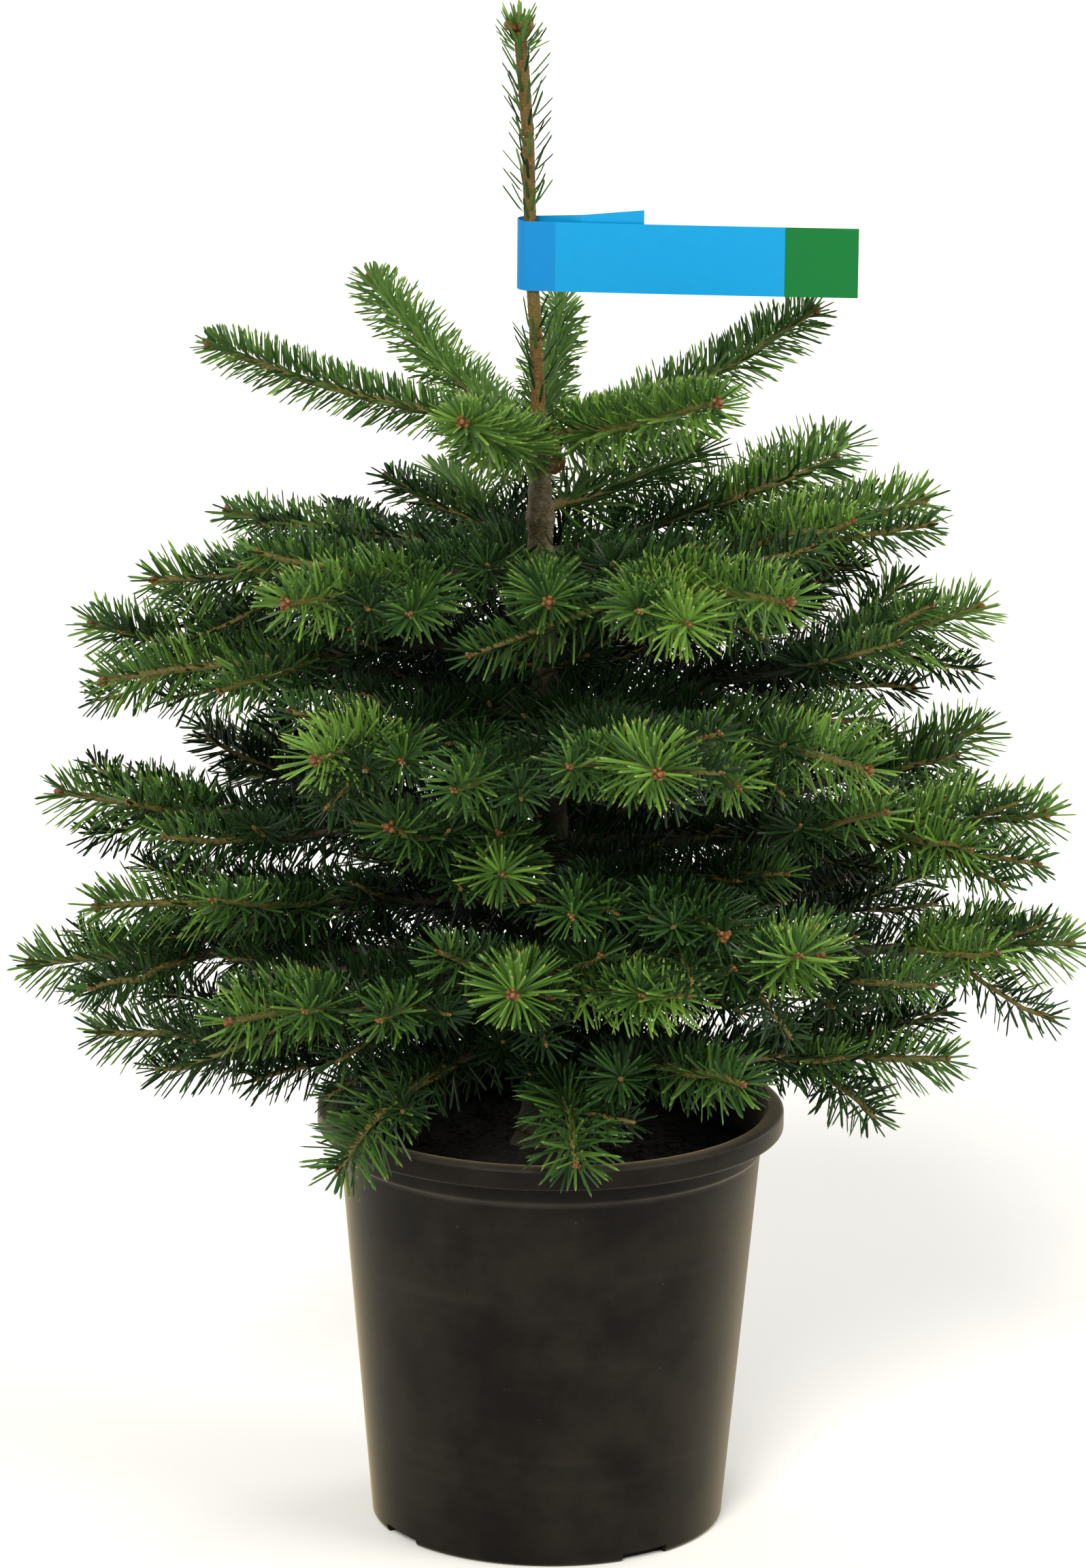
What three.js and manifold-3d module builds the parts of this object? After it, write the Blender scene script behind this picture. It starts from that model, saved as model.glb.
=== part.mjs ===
// A young Caucasian fir growing in a round nursery container, with its tag.
// Millimetres, +Z up, +X to the right, +Y away from the viewer.
// The origin is the centre of the container's flat underside.
import * as THREE from 'three';
import { mergeVertices } from 'three/addons/utils/BufferGeometryUtils.js';
import Module from 'manifold-3d';

// Container: a tapered wall with a collar band and a thick rolled lip.
const POT_HEIGHT = 220;
const POT_BASE_RADIUS = 90.7;
const POT_SHOULDER_RADIUS = 108.4;
const COLLAR_RADIUS = 110;
const COLLAR_HEIGHT = 11;
const LIP_RADIUS = 120;
const LIP_HEIGHT = 11;
const POT_WALL = 2;
const POT_FLOOR = 3;
const POT_SEGMENTS = 40;
const DRAIN = { count: 4, first: 34, width: 27, height: 4.5, depth: 12 };

// Growing medium, filling the container to a little below its lip.
const SOIL_LEVEL = 200;
const SOIL_EDGE_DROP = 4;

// Trunk: [height, lean in x, radius], from the flare at the soil to the end bud.
const TRUNK_LINE = [
  [200.3, -6, 15], [205, -6, 11.5], [215, -5, 10.2], [256, -2, 9.6], [298, -1, 9.2],
  [356, 0, 8.4], [432, -5, 7.4], [503, -8, 6.5], [527, -8, 6.1], [569, -9, 5.4],
];
const LEADER_LINE = [
  [580, -9.5, 3.6], [618, -11, 3.2], [659, -14, 3.1], [721, -16, 3], [768, -20, 3.1],
];
const LEADER_TIP = [780, -21, 1.2];
const LEADER_TUFT = 748;
const LEADER_ROWS = 9;
const LEADER_NEEDLE = { out: 13, up: 21 };
const TUFT_NEEDLE = { out: 15, up: 17 };
const CROWN_TOP = 787;
const TRUNK_SIDES = 9;
const STUB = { height: 558, radius: 3.4, out: 6.4 };

// Boughs, whorl by whorl: [azimuth, reach, rise at the tip, years of growth].
// Azimuth is in degrees: 0 is right, 90 away from the viewer, -90 towards the viewer.
const WHORLS = [
  { name: 'top', height: 569, boughs: [
    [172, 168, 41, 1], [121, 172, 54, 1], [86, 141, 44, 1],
    [20, 147, 56, 1], [-52, 140, 38, 1], [-104, 150, 34, 1]] },
  { name: 'single_high', height: 527, boughs: [[52, 128, 14, 1]] },
  { name: 'upper', height: 503, boughs: [
    [152, 182, 8, 2], [108, 165, 14, 2], [36, 192, 42, 2], [1, 192, 34, 2],
    [-53, 200, 16, 2], [-88, 131, 9, 1], [-130, 190, 10, 2], [-172, 194, -4, 2]] },
  { name: 'single_mid', height: 461, boughs: [[-164, 226, -6, 2]] },
  { name: 'middle', height: 432, boughs: [
    [175, 230, 34, 3], [118, 214, 22, 3], [62, 222, 24, 3], [8, 222, 44, 3],
    [-40, 206, -2, 2], [-76, 226, 16, 3], [-125, 192, 6, 3]] },
  { name: 'lower', height: 356, boughs: [
    [180, 250, 26, 3], [132, 236, 14, 3], [78, 236, 12, 3], [26, 246, 38, 3],
    [-8, 250, 28, 3], [-62, 178, -4, 3], [-120, 160, 44, 2]] },
  { name: 'single_low', height: 327, boughs: [[-170, 232, 6, 2]] },
  { name: 'broad', height: 298, boughs: [
    [106, 244, 2, 3], [52, 248, 8, 3], [-2, 264, 12, 3], [-50, 204, 44, 3],
    [-96, 170, 26, 2], [-142, 200, -2, 3], [-178, 264, -4, 3]] },
  { name: 'skirt', height: 256, boughs: [
    [-172, 230, 8, 2], [122, 196, -16, 2], [58, 196, -16, 2],
    [-14, 208, 4, 2], [-56, 172, 16, 2], [-84, 142, -26, 2], [-130, 160, -36, 2]] },
];
const STAGGER = 4;
const LIMB_REACH = 225;
const LIMB_YEARS = 3;
const LIMB_FLARE = 1.2;
const LIMB_SHARE = 0.34;
const YEAR_NODES = { 1: [], 2: [0.5], 3: [0.37, 0.68] };
const RISING_BEND = 1.5;
const FALLING_BEND = 4;
const LIMB_RADIUS = [4, 2.9];
const LIMB_COLLAR = 7;
const LIMB_SIDES = 7;
const TWIG_RADIUS = { 1: [2.2, 1.4], 2: [2.6, 1.4], 3: [2.8, 1.4] };
const SIDE_RADIUS = [2, 1.2];
const BOUGH_STEPS = 8;
const BUD = { length: 5, radius: 0.7 };

// Side twigs: the share of the bough still to come that they reach, and their angle.
const SIDE_SHARE = [0.74, 0.16];
const SIDE_ANGLE = [44, 10];
const SIDE_SLOPE = 0.42;
const SIDE_STEPS = 5;
const SIDE_TURN = 0.08;
const SIDE_TRIES = [1, 0.8, 0.6, 0.45];
const TWIG_CLEARANCE = 17;

// Needle sprays: teeth that stand on the three faces of each slim twig.
const SPRAY_PITCH = 16;
const SPRAY_LENGTH = 27;
const SPRAY_SWEEP = 0.45;
const SPRAY_LIFTS = [58, 18];
const UNDER_SPRAY = { share: 0.7, across: 0.5, rise: -0.8 };
const END_SPRAY = { share: 0.62, from: 0.3, sweep: 0.5 };
const SPRAY_MARGIN = 4;
const SISTER_MARGIN = 1;
const BARE_FOOT = 12;
const BARE_SHARE = 0.24;
const SEAT_GAP = 0.3;

// Tag: a printed strip looped round the leader, with a short tail behind.
const TAG = {
  low: 643.5, high: 678.5, left: -20.7, right: 149.6, tail: 42.4, meet: 12,
  thick: 0.8, loop: 4.6, rise: 6, droop: 2.2,
};

const wasm = await Module();
wasm.setup();
const plant = new THREE.Group();

// Solid from a three.js geometry, with its shared corners merged.
function solidOf(geometry) {
  const bare = geometry.clone();
  bare.deleteAttribute('normal');
  bare.deleteAttribute('uv');
  const merged = mergeVertices(bare, 1e-4);
  const index = Array.from(merged.index.array);
  const faces = [];
  for (let i = 0; i < index.length; i += 3) {
    const [a, b, c] = index.slice(i, i + 3);
    if (a !== b && b !== c && c !== a) faces.push(a, b, c);
  }
  return new wasm.Manifold(new wasm.Mesh({
    numProp: 3,
    vertProperties: new Float32Array(merged.attributes.position.array),
    triVerts: new Uint32Array(faces),
  }));
}

// Geometry from a solid, keeping its largest body.
function geometryOf(solid) {
  const bodies = solid.decompose();
  const body = bodies.reduce((a, b) => (b.volume() > a.volume() ? b : a));
  const mesh = body.getMesh();
  const geometry = new THREE.BufferGeometry();
  geometry.setAttribute('position', new THREE.BufferAttribute(mesh.vertProperties, 3));
  geometry.setIndex(new THREE.BufferAttribute(mesh.triVerts, 1));
  return geometry;
}

function addPart(name, geometry, finish) {
  const shaded = geometry.index ? geometry : mergeVertices(geometry);
  shaded.computeVertexNormals();
  const mesh = new THREE.Mesh(shaded, finish);
  mesh.name = name;
  plant.add(mesh);
}

const finish = (color, roughness) => new THREE.MeshStandardMaterial({ color, roughness });
const CONTAINER_PLASTIC = finish('#2b2825', 0.5);
const COMPOST = finish('#1c1612', 0.95);
const TRUNK_BARK = finish('#6b5e4c', 0.85);
const BOUGH_BARK = finish('#5d4e39', 0.8);
const NEEDLE_GREEN = finish('#2f5a2c', 0.45);
const TAG_BLUE = finish('#1a94f0', 0.4);

const radians = (degrees) => THREE.MathUtils.degToRad(degrees);
const point = (x, y, z) => new THREE.Vector3(x, y, z);

// Solid of revolution about Z from [radius, height] pairs.
function turned(profile) {
  const outline = profile.map(([r, z]) => new THREE.Vector2(r, z));
  const geometry = new THREE.LatheGeometry(outline, POT_SEGMENTS);
  return geometry.rotateX(Math.PI / 2);
}

// Radius of the container's outer wall at a height below the collar.
function wallRadius(z) {
  const shoulder = POT_HEIGHT - LIP_HEIGHT - COLLAR_HEIGHT;
  return POT_BASE_RADIUS + (POT_SHOULDER_RADIUS - POT_BASE_RADIUS) * (z / shoulder);
}

// Container: underside, wall, collar, lip, then back down inside to the floor.
function containerGeometry() {
  const shoulder = POT_HEIGHT - LIP_HEIGHT - COLLAR_HEIGHT;
  const lipFoot = POT_HEIGHT - LIP_HEIGHT;
  const mouth = COLLAR_RADIUS - POT_WALL;
  const shell = solidOf(turned([
    [0, 0], [POT_BASE_RADIUS - 2.5, 0], [wallRadius(2), 2], [wallRadius(shoulder), shoulder],
    [COLLAR_RADIUS - 0.4, shoulder + 1], [COLLAR_RADIUS, lipFoot],
    [LIP_RADIUS - 1.5, lipFoot], [LIP_RADIUS, lipFoot + 2], [LIP_RADIUS, POT_HEIGHT - 3],
    [LIP_RADIUS - 2, POT_HEIGHT - 0.6], [LIP_RADIUS - 4, POT_HEIGHT],
    [mouth + 3, POT_HEIGHT], [mouth + 1, POT_HEIGHT - 1.5], [mouth, lipFoot],
    [wallRadius(shoulder) - POT_WALL, shoulder],
    [wallRadius(POT_FLOOR + 2) - POT_WALL, POT_FLOOR + 2],
    [wallRadius(POT_FLOOR) - POT_WALL - 2, POT_FLOOR], [0, POT_FLOOR],
  ]));
  return geometryOf(drainCutters().reduce((body, cutter) => body.subtract(cutter), shell));
}

// Drain notches, cut through the edge between the underside and the wall.
function drainCutters() {
  return Array.from({ length: DRAIN.count }, (_, i) => {
    const angle = radians(DRAIN.first + (i * 360) / DRAIN.count - 90);
    const cutter = new THREE.BoxGeometry(DRAIN.depth, DRAIN.width, 2 * DRAIN.height);
    cutter.translate(POT_BASE_RADIUS, 0, 0);
    return solidOf(cutter.rotateZ(angle));
  });
}

// Growing medium: fills the container, its top a little lower at the wall.
function compostGeometry() {
  const inside = (z) => wallRadius(z) - POT_WALL - SEAT_GAP;
  const foot = POT_FLOOR + SEAT_GAP;
  const edge = SOIL_LEVEL - SOIL_EDGE_DROP;
  return turned([
    [0, foot], [inside(foot) - 3, foot], [inside(foot + 3) - 0.5, foot + 3],
    [inside(edge) - 0.5, edge], [60, SOIL_LEVEL - 1.5], [40, SOIL_LEVEL], [0, SOIL_LEVEL],
  ]);
}

// Ring of corners about a centre, in the plane square to the direction of growth.
// The first corner is on top; the rest follow anticlockwise, seen from the tip.
function ring(centre, growth, radius, sides, top = point(0, 0, 1)) {
  const right = growth.clone().cross(top).normalize();
  const up = right.clone().cross(growth);
  return Array.from({ length: sides }, (_, i) => {
    const angle = (2 * Math.PI * i) / sides;
    return centre.clone()
      .addScaledVector(up, radius * Math.cos(angle))
      .addScaledVector(right, radius * Math.sin(angle));
  });
}

// Closed stem through a row of rings. Where spray(k, side) gives a point, the face
// between rings k and k + 1 is drawn out to it as a tooth of needles.
function stemSolid(rings, spray = () => null) {
  const sides = rings[0].length;
  const corners = rings.flat();
  const last = corners.length - sides;
  const faces = [];
  for (let k = 0; k < rings.length - 1; k += 1) {
    for (let side = 0; side < sides; side += 1) {
      const next = (side + 1) % sides;
      const base = [k * sides + side, k * sides + next];
      const far = [base[1] + sides, base[0] + sides];
      const tooth = spray(k, side);
      if (tooth) {
        const tip = corners.push(tooth) - 1;
        faces.push(base[0], base[1], tip, base[1], far[0], tip);
        faces.push(far[0], far[1], tip, far[1], base[0], tip);
      } else {
        faces.push(base[0], base[1], far[0], base[0], far[0], far[1]);
      }
    }
  }
  for (let side = 1; side < sides - 1; side += 1) {
    faces.push(0, side + 1, side, last, last + side, last + side + 1);
  }
  const geometry = new THREE.BufferGeometry().setFromPoints(corners);
  geometry.setIndex(faces);
  return solidOf(geometry);
}

// Rings along a path, with the radius running evenly from foot to tip.
function ringsAlong(stations, [foot, tip], sides) {
  const count = stations.length - 1;
  return stations.map((centre, i) => {
    const growth = stations[Math.min(i + 1, count)].clone().sub(stations[Math.max(i - 1, 0)]);
    return ring(centre, growth.normalize(), foot + ((tip - foot) * i) / count, sides);
  });
}

// Trunk centre line, and its centre and radius at a height.
const trunkStations = [...TRUNK_LINE, ...LEADER_LINE, LEADER_TIP];
function trunkAt(z) {
  const above = Math.max(1, trunkStations.findIndex(([height]) => height >= z));
  const [z0, x0, r0] = trunkStations[above - 1];
  const [z1, x1, r1] = trunkStations[above];
  const share = THREE.MathUtils.clamp((z - z0) / (z1 - z0), 0, 1);
  return { x: x0 + (x1 - x0) * share, radius: r0 + (r1 - r0) * share };
}

// Trunk, grown wider by a gap where it serves to cut what meets it.
function trunkSolid(gap = 0, spray = undefined, stations = trunkStations) {
  const up = point(0, 0, 1);
  const back = point(0, 1, 0);
  const rings = stations.map(([z, x, radius]) => (
    ring(point(x, 0, z), up, radius + gap, TRUNK_SIDES, back)));
  return stemSolid(rings, spray);
}

// Seeded random numbers between 0 and 1.
function randomFrom(seed) {
  let state = seed;
  return () => {
    state = (Math.imul(state, 1664525) + 1013904223) >>> 0;
    return state / 4294967296;
  };
}

// Point on a bough's centre line, at a share of its reach.
function boughPoint(bough, share) {
  const bend = bough.rise > 0 ? RISING_BEND : FALLING_BEND;
  const out = bough.reach * share;
  const foot = trunkAt(bough.height).x;
  return point(
    foot + out * Math.cos(bough.azimuth),
    out * Math.sin(bough.azimuth),
    bough.height + bough.stagger * (1 - share) + bough.rise * share ** bend,
  );
}

// Centre line of a bough from a share of its reach to its tip.
function boughPath(bough, start) {
  return Array.from({ length: BOUGH_STEPS + 1 }, (_, k) => (
    boughPoint(bough, start + (1 - start) * (k / BOUGH_STEPS))));
}

const pieces = (path) => path.slice(1).map((end, i) => new THREE.Line3(path[i], end));

// Every bough with its centre line. Its twigs start where its bare limb ends.
const boughs = WHORLS.flatMap(({ name, height, boughs: rows }, w) => (
  rows.map(([azimuth, reach, rise, years], i) => {
    const stagger = i % 2 ? -STAGGER : STAGGER;
    const bough = { height, stagger, reach, rise, years, azimuth: radians(azimuth) };
    bough.name = `${name}_${i + 1}`;
    bough.random = randomFrom(97 * (w + 1) + i);
    bough.start = years >= LIMB_YEARS && reach > LIMB_REACH ? LIMB_SHARE : 0;
    const path = boughPath(bough, bough.start);
    bough.twigs = [{ path, lines: pieces(path), radius: TWIG_RADIUS[years] }];
    bough.lines = pieces(boughPath(bough, 0));
    return bough;
  })));

const nearest = new THREE.Vector3();
function distanceTo(lines, spot) {
  return Math.min(...lines.map((line) => (
    line.closestPointToPoint(spot, true, nearest).distanceTo(spot))));
}

// Shortest distance from a spot to the twigs and limbs of every other bough.
function clearOfOthers(bough, spot) {
  return Math.min(...boughs.filter((other) => other !== bough).map((other) => (
    distanceTo(other.lines, spot))));
}

// Shortest distance from a spot to the other twigs of the same bough.
function clearOfSisters(bough, twig, spot) {
  const sisters = bough.twigs.filter((other) => other !== twig);
  return Math.min(...sisters.map((other) => distanceTo(other.lines, spot)));
}

// True where a spot would touch the trunk, the container or the tag.
function blocked(spot, margin) {
  const { x, radius } = trunkAt(spot.z);
  const out = Math.hypot(spot.x, spot.y);
  const nearTrunk = Math.hypot(spot.x - x, spot.y) < radius + margin;
  const nearPot = spot.z < POT_HEIGHT + margin && out < LIP_RADIUS + margin;
  const nearTag = spot.z > TAG.low - margin && spot.z < TAG.high + TAG.rise + margin
    && Math.abs(spot.y) < 2 * TAG.loop + margin && spot.x > TAG.left - margin
    && spot.x < TAG.right + margin;
  return nearTrunk || nearPot || nearTag;
}

// A side twig: leaves the bough at an angle and turns slowly forward.
function sideTwig(bough, share, side, draw, scale) {
  const length = bough.reach * (1 - share) * (SIDE_SHARE[0] + SIDE_SHARE[1] * draw[0]) * scale;
  const turn = side * radians(SIDE_ANGLE[0] + SIDE_ANGLE[1] * draw[1]);
  const root = boughPoint(bough, share);
  const ahead = boughPoint(bough, Math.min(1, share + 0.12)).sub(root);
  const slope = ahead.z / Math.hypot(ahead.x, ahead.y) + SIDE_SLOPE * (draw[2] - 0.4);
  const droop = bough.rise < 0 ? (bough.rise / bough.reach) * 0.5 : 0.03;
  const path = [root];
  for (let i = 0; i < SIDE_STEPS; i += 1) {
    const heading = bough.azimuth + turn * (1 - SIDE_TURN * i);
    const step = point(Math.cos(heading), Math.sin(heading), slope + droop * i).normalize();
    path.push(path[i].clone().addScaledVector(step, length / SIDE_STEPS));
  }
  return path;
}

// Side twigs grow in pairs at each year's node. One that comes too close to another
// bough is tried shorter, and is skipped if it still does.
function growSides(bough) {
  YEAR_NODES[bough.years].forEach((share) => {
    [1, -1].forEach((side) => {
      const draw = [bough.random(), bough.random(), bough.random()];
      const fits = SIDE_TRIES.map((scale) => sideTwig(bough, share, side, draw, scale))
        .find((path) => path.slice(2).every((spot) => (
          clearOfOthers(bough, spot) > TWIG_CLEARANCE && !blocked(spot, 4))));
      if (fits) {
        bough.twigs.push({ path: fits, lines: pieces(fits), radius: SIDE_RADIUS });
        bough.lines.push(...pieces(fits));
      }
    });
  });
}

// Teeth of one twig: on the right and left faces at two heights in turn, and shorter
// ones underneath. Each keeps to the space that lies nearest to its own twig.
function sprayOn(bough, twig, stations) {
  const count = stations.length - 1;
  const foot = boughPoint(bough, 0);
  const bare = bough.years > 1 ? bough.reach * BARE_SHARE : trunkAt(bough.height).radius + BARE_FOOT;
  return (k, side) => {
    const root = stations[k].clone().lerp(stations[k + 1], 0.5);
    const growth = stations[k + 1].clone().sub(stations[k]).normalize();
    const right = growth.clone().cross(point(0, 0, 1)).normalize();
    const up = right.clone().cross(growth);
    const under = side === 1;
    if (under && k % 2) return null;
    const hand = side === 2 ? -1 : 1;
    const lift = radians(SPRAY_LIFTS[(k + (hand < 0 ? 1 : 0)) % 2]);
    const underside = UNDER_SPRAY.across * (k % 4 ? 1 : -1);
    const across = under ? underside : Math.cos(lift) * hand;
    const rise = under ? UNDER_SPRAY.rise : Math.sin(lift);
    const endShare = (count - k) / count;
    const shorter = Math.min(1, END_SPRAY.share + endShare) * (under ? UNDER_SPRAY.share : 1);
    const length = SPRAY_LENGTH * shorter;
    const sweep = SPRAY_SWEEP + END_SPRAY.sweep * Math.max(0, END_SPRAY.from - endShare);
    const tip = root.clone()
      .addScaledVector(right, across * length)
      .addScaledVector(up, rise * length)
      .addScaledVector(growth, sweep * length);
    const own = distanceTo(twig.lines, tip);
    if (own + SPRAY_MARGIN > clearOfOthers(bough, tip)) return null;
    if (own + SISTER_MARGIN > clearOfSisters(bough, twig, tip)) return null;
    return blocked(tip, 3) || root.distanceTo(foot) < bare ? null : tip;
  };
}

// One twig: a slim three-sided core with its teeth, closed by a bud.
function twigSolid(bough, twig) {
  const curve = new THREE.CatmullRomCurve3(twig.path);
  const stations = curve.getSpacedPoints(Math.max(3, Math.round(curve.getLength() / SPRAY_PITCH)));
  const rings = ringsAlong(stations, twig.radius, 3);
  const end = stations.at(-1).clone();
  const growth = end.clone().sub(stations.at(-2)).normalize();
  const bud = ring(end.addScaledVector(growth, BUD.length), growth, BUD.radius, 3);
  const spray = sprayOn(bough, twig, stations);
  return stemSolid([...rings, bud], (k, side) => (k < rings.length - 1 ? spray(k, side) : null));
}

// Bare limb between the trunk and the twigs, with a swollen collar at the trunk.
function limbSolid(bough) {
  const end = bough.start - SEAT_GAP / bough.reach;
  const collar = (trunkAt(bough.height).radius + LIMB_COLLAR) / bough.reach;
  const shares = [0, collar, (collar + end) / 2, end];
  const rings = ringsAlong(shares.map((share) => boughPoint(bough, share)), LIMB_RADIUS, LIMB_SIDES);
  rings[0] = ringsAlong([boughPoint(bough, 0), boughPoint(bough, collar)],
    [LIMB_RADIUS[0] + LIMB_FLARE, LIMB_RADIUS[0]], LIMB_SIDES)[0];
  return stemSolid(rings);
}

// Needle teeth of the leader: sparse rows up its sides and a tuft round the end bud.
function leaderSpray(stations) {
  const foot = LEADER_LINE[0][0];
  return (k, side) => {
    const [z, x] = stations[k];
    const tuft = z > LEADER_TUFT && k < stations.length - 2;
    const row = z > foot && z < LEADER_TUFT && (2 * side + 3 * k) % LEADER_ROWS === 0;
    const tagged = z > TAG.low - 2 * SPRAY_PITCH && z < TAG.high + TAG.rise;
    if (tagged || (!tuft && !row)) return null;
    const angle = (2 * Math.PI * (side + 0.5)) / TRUNK_SIDES;
    const { out, up } = tuft ? TUFT_NEEDLE : LEADER_NEEDLE;
    const tip = point(x - out * Math.sin(angle), out * Math.cos(angle), z + up);
    return tip.z > CROWN_TOP ? null : tip;
  };
}

// Trunk and leader in one, with the stub of a side bud below the top whorl.
function trunkGeometry() {
  const first = TRUNK_LINE.at(-1)[0];
  const rise = LEADER_TIP[0] - first;
  const count = Math.round(rise / SPRAY_PITCH);
  const leader = Array.from({ length: count }, (_, i) => {
    const z = first + (rise * (i + 1)) / count;
    const { x, radius } = trunkAt(z);
    return [z, x, radius];
  });
  const stations = [...TRUNK_LINE, ...leader];
  const stub = new THREE.SphereGeometry(STUB.radius, 7, 6);
  stub.translate(trunkAt(STUB.height).x + STUB.out, -1, STUB.height);
  return geometryOf(trunkSolid(0, leaderSpray(stations), stations).add(solidOf(stub)));
}

// Tag: a ribbon that runs in front of the leader, round its left side and back
// behind itself. Each point is [x, y, lift of the strip].
function tagGeometry() {
  const front = -(trunkAt(TAG.low).radius + SEAT_GAP + TAG.thick / 2);
  const centre = point(TAG.left + TAG.loop, front + TAG.loop, 0);
  const turn = Array.from({ length: 9 }, (_, i) => {
    const angle = Math.PI * (1.5 - i / 8);
    const lift = (TAG.rise / 4) * (i / 8);
    return [centre.x + TAG.loop * Math.cos(angle), centre.y + TAG.loop * Math.sin(angle), lift];
  });
  const behind = front + TAG.thick + SEAT_GAP;
  const route = [
    [TAG.right, front, -TAG.droop], ...turn,
    [TAG.meet, behind, TAG.rise / 2], [TAG.tail, behind, TAG.rise],
  ].map(([x, y, lift]) => point(x, y, lift));
  const rings = route.map((spot, i) => {
    const growth = route[Math.min(i + 1, route.length - 1)].clone().sub(route[Math.max(i - 1, 0)]);
    const side = point(growth.y, -growth.x, 0).normalize().multiplyScalar(TAG.thick / 2);
    const corner = (sign, z) => point(spot.x + sign * side.x, spot.y + sign * side.y, z + spot.z);
    return [corner(-1, TAG.high), corner(1, TAG.high), corner(1, TAG.low), corner(-1, TAG.low)];
  });
  return geometryOf(stemSolid(rings));
}

boughs.forEach(growSides);

const trunkRoom = trunkSolid(SEAT_GAP);
addPart('pot', containerGeometry(), CONTAINER_PLASTIC);
addPart('compost', geometryOf(solidOf(compostGeometry())), COMPOST);
addPart('trunk', trunkGeometry(), TRUNK_BARK);
addPart('tag', tagGeometry(), TAG_BLUE);
boughs.forEach((bough) => {
  const twigs = bough.twigs.map((twig) => twigSolid(bough, twig));
  const mass = twigs.reduce((joined, twig) => joined.add(twig)).subtract(trunkRoom);
  addPart(`foliage_${bough.name}`, geometryOf(mass), NEEDLE_GREEN);
  if (bough.start > 0) {
    addPart(`bough_${bough.name}`, geometryOf(limbSolid(bough).subtract(trunkRoom)), BOUGH_BARK);
  }
});

export default plant;
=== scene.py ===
import math

import bpy
import numpy as np
from mathutils import Matrix, Vector, noise


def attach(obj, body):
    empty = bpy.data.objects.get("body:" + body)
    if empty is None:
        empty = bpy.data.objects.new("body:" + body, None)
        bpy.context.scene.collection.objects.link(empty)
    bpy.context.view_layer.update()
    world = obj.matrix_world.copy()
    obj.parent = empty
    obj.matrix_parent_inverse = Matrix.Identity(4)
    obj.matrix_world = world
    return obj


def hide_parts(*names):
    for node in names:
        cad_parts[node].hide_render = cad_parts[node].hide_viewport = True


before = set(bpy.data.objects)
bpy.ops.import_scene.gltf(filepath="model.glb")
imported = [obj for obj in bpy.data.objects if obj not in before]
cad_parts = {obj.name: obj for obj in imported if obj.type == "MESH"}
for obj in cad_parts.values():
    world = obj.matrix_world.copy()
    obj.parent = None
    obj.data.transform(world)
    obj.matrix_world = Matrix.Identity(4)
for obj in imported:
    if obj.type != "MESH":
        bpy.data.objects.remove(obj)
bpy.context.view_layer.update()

# Studio: a plain pale floor under an even white sky, with large soft lamps. A long
# lens looks down a little from 3.5 m away, from where the photo was taken.
VIEW = {"distance": 3.5, "height": 1.242, "pitch": 13.7, "roll": 0.54, "yaw": -0.09}
LENS = 162.5
SENSOR = 36
FLOOR_SIZE = 16
FLOOR_AHEAD = 3
SKY_STRENGTH = 0.41
LAMPS = {
    "front lamp": {"from": (-0.25, -1.0, 0.75), "spread": 22, "strength": 2.6},
    "right lamp": {"from": (1.0, -0.45, 0.7), "spread": 36, "strength": 1.5},
    "left rim lamp": {"from": (-1.0, 0.6, 0.4), "spread": 40, "strength": 0.9},
    "right rim lamp": {"from": (1.0, 0.75, 0.35), "spread": 30, "strength": 1.2},
    "back lamp": {"from": (0.1, 1.0, 1.4), "spread": 60, "strength": 0.4},
}
LAMP_COLOUR = "#FFFBF3"


def linear(code):
    """Linear red, green, blue and alpha from an sRGB hex code."""
    parts = [int(code[i:i + 2], 16) / 255 for i in (1, 3, 5)]
    return [c / 12.92 if c <= 0.04045 else ((c + 0.055) / 1.055) ** 2.4 for c in parts] + [1]


def node(tree, kind, inputs=None, **settings):
    """A new node. Each input is a value, or an output socket that it is linked to."""
    made = tree.nodes.new(kind)
    for name, value in settings.items():
        setattr(made, name, value)
    for socket, value in (inputs or {}).items():
        if isinstance(value, bpy.types.NodeSocket):
            tree.links.new(value, made.inputs[socket])
        else:
            made.inputs[socket].default_value = value
    return made


def finish_named(name, roughness, specular=0.5):
    """A new material with its node tree and its shader."""
    material = bpy.data.materials.new(name)
    material.use_nodes = True
    shader = material.node_tree.nodes["Principled BSDF"]
    shader.inputs["Roughness"].default_value = roughness
    shader.inputs["Specular IOR Level"].default_value = specular
    return material, material.node_tree, shader


def mixed(tree, factor, first, second):
    """Two colours mixed by a factor, each given as a hex code, a colour or a socket."""
    first, second = (linear(tone) if isinstance(tone, str) else tone for tone in (first, second))
    return node(tree, "ShaderNodeMix", {"Factor": factor, "A": first, "B": second},
                data_type="RGBA").outputs["Result"]


def ranged(tree, value, low=0, high=1, start=0, end=1):
    """A value that goes from start to end while the given one goes from low to high."""
    return node(tree, "ShaderNodeMapRange", {
        "Value": value, "From Min": low, "From Max": high, "To Min": start,
        "To Max": end}).outputs["Result"]


def dress(tree, shader, sockets):
    """Links an output socket to each of these inputs of the shader."""
    for name, socket in sockets.items():
        tree.links.new(socket, shader.inputs[name])


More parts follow.
